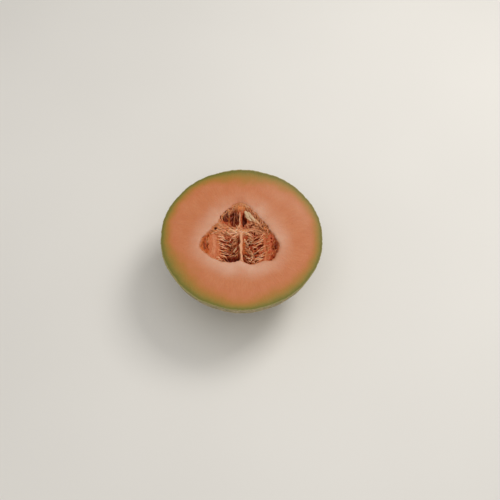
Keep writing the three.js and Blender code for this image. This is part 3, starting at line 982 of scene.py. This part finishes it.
# %% The star of thick strands round the middle
# Each side of the star: count, first direction, sweep, x, length, thickness, tip, tone and rise.
STAR = [(13, 152, 64, -2.0, (5, 16), (0.8, 0.3), 0.34, (0.8, 0.18), 0.45),
        (12, -36, 96, 1.6, (4.5, 13.5), (0.7, 0.26), 0.32, (0.68, 0.22), 0.4)]
for count, first, sweep, x, length, thick, thin, tone, rise in STAR:
    for order in range(count):
        angle = first + sweep * (order + next(draw)) / count
        add_strand(start=(about(x, 2.4), about(2.8, 2.6)), heading=about(angle, 9), length=between(*length),
                   bend=about(0, 60), thick=about(*thick), thin=thin, tone=about(*tone), rise=rise, sag=0.3)
for angle in (84, 97, 108, 122):
    add_strand(start=(about(-1.6, 1.6), about(4.5, 1.8)), heading=about(angle, 6), length=about(8, 4),
               bend=about(0, 36), thick=0.7, thin=0.32, tone=about(0.72, 0.14), rise=0.35, sag=0.2)
for _ in range(12):
    add_strand(start=(between(-22, -8), between(-0.5, 8.5)), heading=about(172, 36), length=about(8, 3),
               bend=about(0, 60), thick=about(0.75, 0.25), thin=0.34, tone=about(0.72, 0.2), rise=0.45,
               sag=0.3)
print(len(strands["points"]), "strands with the star")

# %% Strands of the upper left corner, the seed pits and the wall between them
for _ in range(14):
    add_strand(start=(between(-31, -24), between(1, 10)), heading=about(8, 22), length=about(9, 3),
               bend=about(0, 25), thick=0.65, thin=0.33, tone=about(0.66, 0.2), rise=0.35, sag=0.3)
for order in range(16):
    add_strand(start=(between(-19, -2), about(27, 4)), heading=about(264, 30), length=about(8, 3),
               bend=about(0, 60), thick=0.42, thin=0.28, rise=0.5, sag=0.4, points=12,
               tone=about(0.14, 0.14) if order % 2 else about(0.66, 0.16))
for order in range(5):
    add_strand(start=(about(-11.4, 0.8), about(28 - 3.2 * order, 0.6)), heading=about(268, 16),
               length=about(6, 1.5), bend=about(0, 40), thick=0.6, thin=0.36, tone=about(0.42, 0.1),
               rise=0.5, sag=0.3, points=11)
print(len(strands["points"]), "strands with the pits")

# %% Strands of the right fan and the far corner
APEX_STRANDS = 30
for _ in range(30):
    place = next(draw)
    add_strand(start=(about(9 + 16 * place, 2.5), about(20 - 17 * place, 3.5)), heading=about(-48, 32),
               length=about(6, 2.5), bend=about(0, 40), thick=0.55, thin=0.28, tone=about(0.36, 0.28),
               rise=0.45, sag=0.3, points=11)
for order in range(APEX_STRANDS):
    x = -9 + 18 * order / (APEX_STRANDS - 1)
    add_strand(start=(0.7 * x, about(37 - 0.06 * x * x, 1)), heading=about(270 + 3.2 * x, 8),
               length=about(8.5, 3), bend=about(0, 20), thick=0.6, thin=0.3, tone=about(0.62, 0.12),
               rise=0.15, sag=0.1, points=11)
print(len(strands["points"]), "strands with the far corner")

# %% Threads that hang in the two outer corners
# Each corner: count, ends of x and y, heading, length, bend, then a dark and a light tone.
CORNERS = [(14, (-36, -29), (-1, -10), (264, 16), (7, 2.5), 30, (0.08, 0.08), (0.56, 0.08)),
           (16, (29, 36), (-4, -18), (258, 28), (6.5, 2.5), 40, (0.04, 0.04), (0.2, 0.12))]
for count, x, y, heading, length, bend, dark, light in CORNERS:
    for order in range(count):
        add_strand(start=(between(*x), between(*y)), heading=about(*heading), length=about(*length),
                   bend=about(0, bend), thick=about(0.5, 0.15), thin=0.28,
                   tone=about(*(dark if order % 2 else light)), rise=0.25, sag=0.2, points=11)
print(len(strands["points"]), "strands with the outer corners")

# %% Short torn strands along the upper edges and on the right curtain
EDGE_STRANDS = 44
EDGE_LEAN = 55
for order in range(EDGE_STRANDS):
    angle = about(6 + 168 * (order + 0.5) / EDGE_STRANDS, 1.5)
    reach = float(hollow_reach(np.radians([angle]))[0]) - 0.7
    lean = EDGE_LEAN if angle < 90 else -EDGE_LEAN
    add_strand(start=reach * np.array([math.cos(math.radians(angle)), math.sin(math.radians(angle))]),
               heading=about(angle + 180 + lean, 25), length=about(5.5, 2), bend=about(0, 35), thick=0.6,
               thin=0.28, tone=about(0.58, 0.26), rise=0.4, sag=0.2, points=11)
for _ in range(34):
    add_strand(start=(between(24.5, 31), between(-25, 1)), heading=about(196, 16), length=about(3.4, 1.2),
               bend=about(0, 30), thick=about(0.42, 0.12), thin=0.26, tone=about(0.52, 0.16), rise=0.1,
               sag=0.1, points=9)
print(len(strands["points"]), "strands in all")

# %% Mesh of all the strands
fibres = heap_piece("pulp_strands", strands)
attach(fibres, "root")

# %% [markdown]
# ## Seeds
#
# A cantaloupe seed is a flat drop about 10 mm long, blunt at one end and pointed at the end that
# hung on the placenta. A squashed sphere would have no point, so one seed is made as a closed ring
# mesh along its length. Copies are turned and placed in rows in the pockets, most of them on edge,
# with two clumps in the far left pits painted dark brown, as painted shade of the deep pits with the
# juice that wets them, and a few pale ones on the right.

# %% Shape of one seed
SEED_LENGTH = 9.6
SEED_WIDTH = 4.3
SEED_THICKNESS = 1.7
SEED_RINGS = 15
SEED_SIDES = 22


def seed_shape():
    """Points of one seed along x, its point at the low end, and the counts of its rings."""
    rings = [np.array([[-SEED_LENGTH / 2, 0, 0]])]
    turn = -turns(SEED_SIDES)
    across = np.sign(np.cos(turn)) * np.abs(np.cos(turn)) ** 0.85
    lens = np.sin(turn) * (1 - 0.25 * np.abs(np.cos(turn)) ** 6)
    for share in (1 - np.cos(np.linspace(0, math.pi, SEED_RINGS)[1:-1])) / 2:
        blunt = math.sqrt(max(1 - (2 * share - 1) ** 2, 0)) * (0.62 + 0.38 * share)
        x = np.full(SEED_SIDES, (share - 0.5) * SEED_LENGTH)
        y = SEED_WIDTH / 2 * blunt * across
        z = SEED_THICKNESS / 2 * min(1, 1.25 * blunt) * lens
        rings.append(np.stack([x, y, z], axis=1))
    rings.append(np.array([[SEED_LENGTH / 2, 0, 0]]))
    return np.concatenate(rings), [len(ring) for ring in rings]


def turned(points, roll, pitch, yaw):
    """Points rolled about x, pitched about y and turned about z, in degrees."""
    points = points.copy()
    for (a, b), degrees in zip([(1, 2), (2, 0), (0, 1)], (roll, pitch, yaw)):
        c, s = math.cos(math.radians(degrees)), math.sin(math.radians(degrees))
        points[:, [a, b]] = points[:, [a, b]] @ np.array([[c, s], [-s, c]])
    return points


def add_seed(x, y, depth, roll, pitch, yaw, tone, size):
    """Adds a seed at a depth below the cut. Roll 0 lies flat and 90 stands on edge."""
    middle = (x + HOLLOW_MIDDLE[0], y + HOLLOW_MIDDLE[1], CUT - depth)
    points = turned(seed_points * size, roll, pitch, yaw) + middle
    gather(seeds, points, seed_faces, tone=np.full(len(points), tone), sunk=CUT - points[:, 2])


seed_points, seed_counts = seed_shape()
seed_faces = stitch(seed_counts)
seeds = new_heap("tone", "sunk")
print("one seed", len(seed_points), "points", len(seed_faces), "faces")

# %% Rows of seeds on edge beside the septum
SEED_NEAR = {-1: -22, 1: -27}
for row in np.arange(0, 1.01, 0.1):
    for side in (-1, 1):
        add_seed(x=side * about(6.3, 2.6), y=about(mix(SEED_NEAR[side], -4, row), 0.8),
                 yaw=facing(side, about(-38, 22)), depth=about(4.1, 0.7), roll=about(78, 14),
                 pitch=about(0, 14), tone=about(0.45, 0.3), size=about(0.76, 0.12))
print(len(seeds["points"]), "seeds on edge")

# %% The clumps on the far left in painted shade, and the pale and grey seeds on the right
# The clumps take the dark end of the seed tones: painted shade of the deep pits, with the juice that wets
# them.
SHADED_CLUMPS = [(-16.5, 24, 70), (-14.5, 22, 95), (-15.8, 18.5, 80), (-9.5, 24.5, 60), (-6.5, 25, 85),
          (-4, 23.5, 105), (-9.2, 19, 60), (-6.4, 19, 80), (-3.9, 18, 100), (-7, 14, 75)]
PALE = [(5.5, 22.8, 2.2, 4, 112, 0.0), (8.5, 21.7, 2.4, -8, 120, 0.04), (11.2, 18.8, 2.7, 14, 126, 0.08),
        (7.2, 18.8, 3.0, 10, 132, 0.08), (16.0, 14.6, 3.1, 40, 128, 0.24), (13.2, 15.4, 3.4, 40, 142, 0.26)]
GREY = [(15.5, 13.5, 140, 0.34), (19.5, 8.5, 128, 0.4), (14.2, 7.5, 20, 0.42), (18, 3.8, 150, 0.45),
        (-18, 6.6, 10, 0.3), (-15.4, 10.2, -35, 0.42)]
for x, y, yaw in SHADED_CLUMPS:
    add_seed(x, y, depth=about(4.3, 0.8), roll=about(72, 16), pitch=about(0, 16), yaw=about(yaw, 14),
             tone=about(0.84, 0.14), size=0.8)
for x, y, depth, roll, yaw, tone in PALE:
    add_seed(x, y, depth, roll, pitch=about(0, 6), yaw=yaw, tone=tone, size=0.92)
for x, y, yaw, tone in GREY:
    add_seed(x, y, depth=about(3.2, 0.4), roll=about(52, 22), pitch=about(0, 10), yaw=about(yaw, 8),
             tone=tone, size=0.75)
print(len(seeds["points"]), "seeds in all")

# %% Mesh of all the seeds
seed_mass = heap_piece("melon_seeds", seeds)
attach(seed_mass, "root")

# %% [markdown]
# ## Materials made of nodes
#
# Colours are easiest to pick as they look on a screen, from 0 to 255, and `paint` turns them into the
# light values that Blender mixes. The nodes could be wired by hand in the editor. `add` makes a node,
# sets it and links it in one line, so a material reads as a short list of what it is made of.


# %% Colours, and arithmetic with nodes
def paint(red, green, blue):
    """A screen colour as linear light."""
    shares = [c / 255 for c in (red, green, blue)]
    return (*[c / 12.92 if c <= 0.04045 else ((c + 0.055) / 1.055) ** 2.4 for c in shares], 1)


def add(tree, kind, inputs=(), **settings):
    """A new node. Inputs are values or sockets to link, by name or place."""
    made = tree.nodes.new("ShaderNode" + kind)
    for name, value in settings.items():
        setattr(made, name, value)
    for place, value in dict(inputs).items():
        if isinstance(value, bpy.types.NodeSocket):
            tree.links.new(value, made.inputs[place])
        else:
            made.inputs[place].default_value = value
    return made


def calc(tree, way, first, second):
    return add(tree, "Math", {0: first, 1: second}, operation=way).outputs[0]


def times(tree, first, *others):
    """The product of values and sockets."""
    for other in others:
        first = calc(tree, "MULTIPLY", first, other)
    return first


def swing(tree, noise, *reach):
    """A noise that swings both ways from 0."""
    return times(tree, calc(tree, "SUBTRACT", noise, 0.5), *reach)


def span(tree, value, low, high, to_low=0.0, to_high=1.0):
    """A value taken from one range to another."""
    return add(tree, "MapRange", {0: value, 1: low, 2: high, 3: to_low, 4: to_high}).outputs[0]


print("half grey on a screen is", round(paint(128, 128, 128)[0], 3), "as light")


# %% Patterns and mixed colours
def mark(tree, name):
    """A value that the mesh carries."""
    return add(tree, "Attribute", attribute_name=name).outputs["Fac"]


def on_piece(tree):
    """The place on the piece, in metres."""
    return add(tree, "TexCoord").outputs["Object"]


def cloud(tree, place, scale, detail=3.0, rough=0.5):
    noise = {"Vector": place, "Scale": scale, "Detail": detail, "Roughness": rough}
    return add(tree, "TexNoise", noise).outputs[0]


def dots(tree, place, scale, **settings):
    """The distance to the nearest of many scattered dots."""
    return add(tree, "TexVoronoi", {"Vector": place, "Scale": scale}, **settings).outputs["Distance"]


def blend(tree, share, first, second):
    """A mix of two colours."""
    return add(tree, "Mix", {0: share, 6: first, 7: second}, data_type="RGBA").outputs[2]


def tint(tree, colour, value, low, high, share, second):
    """Lets a second colour in, up to a share, as a value goes from low to high."""
    return blend(tree, span(tree, value, low, high, 0.0, share), colour, second)


def ramp(tree, value, stops):
    """A colour for each value, through stops of place and colour."""
    made = add(tree, "ValToRGB", {0: value})
    points = made.color_ramp.elements
    while len(points) < len(stops):
        points.new(0.5)
    for point, (place, colour) in zip(points, stops):
        point.position = place
        point.color = colour
    return made.outputs[0]


print("dots at a rate of 800 lie about", round(1 / 800 / MM, 2), "mm apart")


# %% Empty materials and groups, and fine relief
def new_material(name, piece):
    """A material on a piece, with only its shader and output."""
    made = bpy.data.materials.new(name)
    made.use_nodes = True
    tree = made.node_tree
    tree.nodes.clear()
    shader = add(tree, "BsdfPrincipled")
    add(tree, "OutputMaterial", {"Surface": shader.outputs[0]})
    piece.data.materials.append(made)
    return tree, shader


def new_group(name, takes, gives):
    """An empty node group with named values in and out."""
    group = bpy.data.node_groups.new(name, "ShaderNodeTree")
    for labels, way in ((takes, "INPUT"), (gives, "OUTPUT")):
        for label in labels:
            group.interface.new_socket(label, in_out=way, socket_type="NodeSocketFloat")
    return group, group.nodes.new("NodeGroupInput"), group.nodes.new("NodeGroupOutput")


def add_bump(tree, shader, height, strength, depth):
    """Fine relief of a depth in mm."""
    made = add(tree, "Bump", {"Strength": strength, "Distance": depth * MM, "Height": height})
    tree.links.new(made.outputs[0], shader.inputs["Normal"])


print("pieces that wait for a material:", [o.name for o in (half, bed, fibres, seed_mass)])

# %% [markdown]
# ## Juicy grain
#
# Cut fruit is made of tiny sacs of juice. From close up the surface is finely pebbled and glints
# here and there, and its colour is a little cloudy. Flesh, pulp, strands and seeds all show this at
# their own size, so it is a node group instead of nodes copied from one material to the next: it
# takes a size, and gives a cloud for the colour, a glint for the roughness and a height for the bump.

# %% Node group for the juicy grain
grain, grain_in, grain_out = new_group("juicy_grain", ["Size"], ["Cloud", "Glint", "Height"])
place = on_piece(grain)
rate = calc(grain, "DIVIDE", 1.0, grain_in.outputs["Size"])
sacs = dots(grain, place, rate, feature="SMOOTH_F1")
broad = cloud(grain, place, times(grain, rate, 0.07), detail=4.0, rough=0.55)
tiny = cloud(grain, place, times(grain, rate, 0.6), detail=2.0)
grain.links.new(broad, grain_out.inputs["Cloud"])
grain.links.new(span(grain, tiny, 0.35, 0.65), grain_out.inputs["Glint"])
grain.links.new(calc(grain, "ADD", times(grain, sacs, 0.5), tiny), grain_out.inputs["Height"])


def use_grain(tree, size):
    made = tree.nodes.new("ShaderNodeGroup")
    made.node_tree = grain
    made.inputs["Size"].default_value = size * MM
    return made.outputs


def finish_juicy(tree, shader, colour, glint, rough, gloss):
    """The colour, a roughness that glints between two values, and how strongly the juice shines."""
    tree.links.new(colour, shader.inputs["Base Color"])
    tree.links.new(span(tree, glint, 0.0, 1.0, *rough), shader.inputs["Roughness"])
    shader.inputs["Specular IOR Level"].default_value = gloss


def let_light_in(shader, weight, radius, depth):
    """Light that goes some mm into the fruit, red the furthest, and comes out again."""
    shader.inputs["Subsurface Weight"].default_value = weight
    shader.inputs["Subsurface Radius"].default_value = radius
    shader.inputs["Subsurface Scale"].default_value = depth * MM


print("group", grain.name, len(grain.nodes), "nodes")

# %% [markdown]
# ## Netted rind
#
# Between the ridges the skin is grey green, mottled, and dusted with tiny pale specks. The net is
# tan cork, rough and dry, and painted darker where its fine relief dips, as painted shade in its
# cracks. A noise alone could draw a net, but not on the ridges, so the mesh carries where the cork is,
# and the noise only breaks up its edge.

# %% Material of the rind
GREENS = [(0.3, paint(104, 106, 58)), (0.55, paint(136, 130, 78)), (0.75, paint(160, 148, 96))]
CORK_TANS_AND_CRACK_SHADE = [(0.3, paint(136, 116, 80)), (0.5, paint(178, 160, 122)), (0.7, paint(204, 190, 156))]
SPECK_RATE = 700.0
CRUMB_RATE = 900.0
tree, shader = new_material("netted_rind", half)
place = on_piece(tree)
broad = cloud(tree, place, 40.0, detail=4.0)
green = ramp(tree, broad, GREENS)
green = tint(tree, green, dots(tree, place, SPECK_RATE), 0.30, 0.16, 0.45, paint(168, 160, 118))
# One noise gives the cork its tan and its bump, so the tan is darker where the relief dips: painted shade
# in the cracks.
crumbs = cloud(tree, place, CRUMB_RATE, detail=4.0, rough=0.65)
tan = ramp(tree, crumbs, CORK_TANS_AND_CRACK_SHADE)
cork = span(tree, calc(tree, "ADD", mark(tree, "cork"), swing(tree, crumbs, 0.5)), 0.22, 0.5)
tree.links.new(blend(tree, cork, green, tan), shader.inputs["Base Color"])
tree.links.new(span(tree, cork, 0.0, 1.0, 0.5, 0.85), shader.inputs["Roughness"])
height = calc(tree, "ADD", times(tree, crumbs, cork), times(tree, broad, 0.4))
add_bump(tree, shader, height, strength=0.6, depth=0.35)
print("netted rind", len(tree.nodes), "nodes")

# %% [markdown]
# ## Cut flesh
#
# Under the skin there is a thin dark green line, then olive green that fades through yellow into
# salmon orange. At the near left the band is drawn wider, and so darker, as painted shade. Round the
# hollow the flesh is paler, and down in the hollow it is deeper and wetter. The far right of the cut
# is painted paler as a painted sheen.
# An image of a slice could be laid on the cut, but it would blur from close up. The mesh carries the
# depth under the skin, so one ramp gives the whole band, strayed a little by noise so that it is not
# drawn with compasses. Faint rays run out from the hollow, with the cut ends of veins among them and
# fine pores all over.

# %% Colour of the flesh, from the skin inwards
FLESH = paint(187, 112, 72)
BAND_DEPTH = 14.0
BAND = [
    (0.25, paint(146, 136, 88)), (0.9, paint(102, 100, 38)), (1.8, paint(118, 109, 42)),
    (3.1, paint(138, 114, 46)), (4.6, paint(154, 115, 48)), (6.4, paint(167, 113, 52)),
    (8.5, paint(179, 112, 62)), (12.0, FLESH),
]
tree, shader = new_material("cut_flesh", half)
sacs = use_grain(tree, 0.9)
place = on_piece(tree)
depth = mark(tree, "skin_depth")
depth = calc(tree, "ADD", depth, swing(tree, cloud(tree, place, 90.0), depth, 0.8))
colour = ramp(tree, calc(tree, "DIVIDE", depth, BAND_DEPTH), [(d / BAND_DEPTH, c) for d, c in BAND])
within = span(tree, depth, 7.0, 14.0)
cloudy = span(tree, sacs["Cloud"], 0.35, 0.68)
colour = blend(tree, times(tree, cloudy, within, 0.42), colour, paint(198, 132, 92))
print("green band of", len(BAND), "colours")

# %% Rays, veins, the pale ring and the pores
VEIN_RATE = 150.0
PORE_RATE = 800.0
rays = {"X": mark(tree, "ray_east"), "Y": mark(tree, "ray_north"), "Z": mark(tree, "ray_along")}
streaks = cloud(tree, add(tree, "CombineXYZ", rays).outputs[0], 1.0, detail=4.0, rough=0.62)
bright = times(tree, span(tree, streaks, 0.52, 0.68), within, 0.2)
colour = blend(tree, bright, colour, paint(204, 138, 98))
dark = times(tree, span(tree, streaks, 0.5, 0.34), within, 0.22)
colour = blend(tree, dark, colour, paint(174, 96, 56))
vein = span(tree, dots(tree, place, VEIN_RATE, voronoi_dimensions="2D"), 0.12, 0.04)
vein = times(tree, vein, span(tree, streaks, 0.45, 0.55), within, 0.4)
colour = blend(tree, vein, colour, paint(164, 84, 40))
uneven = span(tree, cloud(tree, place, 60.0), 0.3, 0.6, 0.6, 1.0)
# Paler round the hollow, which the flesh is, and at the far right, which is a painted sheen.
colour = blend(tree, times(tree, mark(tree, "paleness_and_sheen"), uneven, 0.95), colour, paint(208, 164, 140))
colour = tint(tree, colour, mark(tree, "below_cut"), 0.5, 7.0, 1.0, paint(158, 74, 30))
finish_juicy(tree, shader, colour, sacs["Glint"], rough=(0.3, 0.58), gloss=0.22)
let_light_in(shader, weight=0.12, radius=(1.0, 0.35, 0.15), depth=3.0)
pores = span(tree, dots(tree, place, PORE_RATE, voronoi_dimensions="2D"), 0.05, 0.3, 0.0, 0.6)
height = calc(tree, "ADD", calc(tree, "ADD", sacs["Height"], streaks), pores)
add_bump(tree, shader, height, strength=0.55, depth=0.3)
print("cut flesh", len(tree.nodes), "nodes")

# %% [markdown]
# ## Wet pulp, strands and seeds
#
# The pulp's colour follows its depth: salmon where it stands high and dark maroon in the pockets.
# The darkening is painted shade, as little light gets in there; the red is the juice that gathers.
# Light alone would darken the gaps, but not redden them. The masks shift the colour to pale, orange,
# amber, red or tan, and a noise drawn out along the fibres streaks it. Strands and seeds carry a tone
# each, and are painted dark red as they sink, as painted shade.

# %% Material of the pulp bed
SUNK_RANGE = 10.0
# Salmon at the top to dark maroon at depth: the darkening is painted shade, the red is the juice's.
DEPTH_COLOURS_AND_SHADE = [(0.08, paint(204, 128, 88)), (0.25, paint(192, 108, 68)), (0.42, paint(154, 56, 18)),
                 (0.62, paint(114, 24, 2)), (0.88, paint(72, 5, 0))]
TINTS = [
    ("pale", 0.95, paint(216, 158, 120)), ("orange", 0.75, paint(206, 124, 64)),
    ("amber", 0.8, paint(180, 86, 20)), ("red", 0.88, paint(166, 52, 10)),
    ("tan", 0.7, paint(190, 138, 100)), ("edge", 0.9, paint(194, 124, 84)),
]
tree, shader = new_material("wet_pulp", bed)
sacs = use_grain(tree, 0.7)
ruffle = swing(tree, cloud(tree, on_piece(tree), 450.0), 2.4)
sunk = calc(tree, "DIVIDE", calc(tree, "ADD", mark(tree, "sunk"), ruffle), SUNK_RANGE)
colour = ramp(tree, sunk, DEPTH_COLOURS_AND_SHADE)
# Tints fade out with depth, so that the painted shade wins in the pockets.
high = span(tree, sunk, 0.5, 0.28)
for name, share, second in TINTS:
    colour = blend(tree, times(tree, mark(tree, name), share, high), colour, second)
ways = add(tree, "CombineXYZ", {"X": mark(tree, "fibre_across"), "Y": mark(tree, "fibre_along")}).outputs[0]
fibre = cloud(tree, ways, 1.6, rough=0.6)
colour = tint(tree, colour, fibre, 0.47, 0.32, 0.45, paint(130, 42, 8))
colour = tint(tree, colour, fibre, 0.53, 0.68, 0.35, paint(214, 144, 104))
finish_juicy(tree, shader, colour, sacs["Glint"], rough=(0.18, 0.42), gloss=0.12)
let_light_in(shader, weight=0.06, radius=(1.0, 0.3, 0.12), depth=1.5)
height = calc(tree, "ADD", times(tree, fibre, 1.6), sacs["Height"])
add_bump(tree, shader, height, strength=0.6, depth=0.4)
print("wet pulp", len(tree.nodes), "nodes")

# %% Material of the strands
STRAND_TONES = [(0.0, paint(122, 34, 2)), (0.2, paint(158, 78, 26)), (0.42, paint(180, 106, 54)),
                (0.62, paint(204, 124, 76)), (0.9, paint(230, 172, 134))]
tree, shader = new_material("pulp_strand", fibres)
sacs = use_grain(tree, 0.5)
colour = ramp(tree, mark(tree, "tone"), STRAND_TONES)
colour = tint(tree, colour, sacs["Cloud"], 0.45, 0.7, 0.25, paint(222, 166, 128))
colour = tint(tree, colour, mark(tree, "along"), 0.5, 1.0, 0.35, paint(130, 38, 6))
# Painted shade: strands turn dark red from 3.8 to 6.4 mm below the cut.
colour = tint(tree, colour, mark(tree, "sunk"), 3.8, 6.4, 0.85, paint(108, 20, 0))
finish_juicy(tree, shader, colour, sacs["Glint"], rough=(0.14, 0.36), gloss=0.24)
let_light_in(shader, weight=0.3, radius=(1.0, 0.3, 0.12), depth=1.2)
add_bump(tree, shader, sacs["Height"], strength=0.4, depth=0.15)
print("pulp strand", len(tree.nodes), "nodes")

# %% Material of the seeds
# Pale cream to dark brown; the dark end serves the clumps in the far left pits as painted shade.
SEED_TONES_AND_SHADE = [(0.0, paint(202, 174, 138)), (0.3, paint(196, 136, 94)), (0.6, paint(168, 94, 54)),
              (0.95, paint(104, 38, 14))]
tree, shader = new_material("melon_seed", seed_mass)
sacs = use_grain(tree, 0.6)
colour = ramp(tree, mark(tree, "tone"), SEED_TONES_AND_SHADE)
colour = tint(tree, colour, sacs["Cloud"], 0.45, 0.7, 0.3, paint(128, 66, 34))
# Painted shade: seeds turn dark red from 3.4 to 6.4 mm below the cut.
colour = tint(tree, colour, mark(tree, "sunk"), 3.4, 6.4, 0.85, paint(104, 22, 2))
finish_juicy(tree, shader, colour, sacs["Glint"], rough=(0.25, 0.4), gloss=0.28)
add_bump(tree, shader, sacs["Height"], strength=0.3, depth=0.12)
print("melon seed", len(tree.nodes), "nodes")

# %% [markdown]
# ## Floor, light and camera
#
# The stage is a plain pale floor. One large soft light hangs overhead, a little towards the viewer, a
# smaller one stands at the back right like a window and gives the fruit its shadow, and a dim warm
# sky fills the rest. A single lamp would be simpler, but its hard shadows would hide the pulp. The
# camera looks down at 60 degrees from 0.7 m. The cut is a level circle, and that is the angle at
# which its picture is as narrow as it should be.

# %% Floor
FLOOR_SIZE = 40.0
bpy.ops.mesh.primitive_plane_add(size=FLOOR_SIZE)
floor = bpy.context.object
floor.name = "floor"
tree, shader = new_material("pale_floor", floor)
mottle = cloud(tree, on_piece(tree), 3.0, detail=2.0)
pale = ramp(tree, mottle, [(0.3, paint(218, 216, 212)), (0.7, paint(223, 221, 217))])
tree.links.new(pale, shader.inputs["Base Color"])
shader.inputs["Roughness"].default_value = 0.7
print("floor", FLOOR_SIZE, "m wide")

# %% Lights and sky
SKY_COLOUR = (1.0, 0.985, 0.96, 1)
SKY_STRENGTH = 0.4
LIGHT_COLOUR = (1.0, 0.97, 0.92)
target = Vector((0, 0, CUT * MM))


def soft_light(name, place, size, power):
    """A square light that faces the cut."""
    light = bpy.data.objects.new(name, bpy.data.lights.new(name, "AREA"))
    light.data.color = LIGHT_COLOUR
    light.data.size = size
    light.data.energy = power
    light.location = place
    light.rotation_euler = (target - Vector(place)).to_track_quat("-Z", "Y").to_euler()
    bpy.context.scene.collection.objects.link(light)


world = bpy.data.worlds.new("sky")
world.use_nodes = True
world.node_tree.nodes["Background"].inputs["Color"].default_value = SKY_COLOUR
world.node_tree.nodes["Background"].inputs["Strength"].default_value = SKY_STRENGTH
bpy.context.scene.world = world
soft_light("overhead", (0.0, -0.3, 1.4), size=1.6, power=8.5)
soft_light("window", (0.55, 0.45, 0.95), size=0.45, power=6.1)

# %% Camera
IMAGE_SIZE = 500
CAMERA_HEIGHT_ANGLE = math.radians(59.96)
CAMERA_DISTANCE = 0.7
FOCAL_PIXELS = 735.5
CUT_MIDDLE_PIXEL = (241.56, 236.10)
camera = bpy.data.objects.new("camera", bpy.data.cameras.new("camera"))
back = Vector((0, -math.cos(CAMERA_HEIGHT_ANGLE), math.sin(CAMERA_HEIGHT_ANGLE)))
camera.location = target + back * CAMERA_DISTANCE
camera.rotation_euler = back.to_track_quat("Z", "Y").to_euler()
camera.data.lens = camera.data.sensor_width * FOCAL_PIXELS / IMAGE_SIZE
camera.data.shift_x = 0.5 - CUT_MIDDLE_PIXEL[0] / IMAGE_SIZE
camera.data.shift_y = CUT_MIDDLE_PIXEL[1] / IMAGE_SIZE - 0.5
bpy.context.scene.collection.objects.link(camera)
bpy.context.scene.camera = camera
bpy.context.scene.view_settings.view_transform = "Standard"
print("camera at", [round(x, 3) for x in camera.location], "lens", round(camera.data.lens, 1))
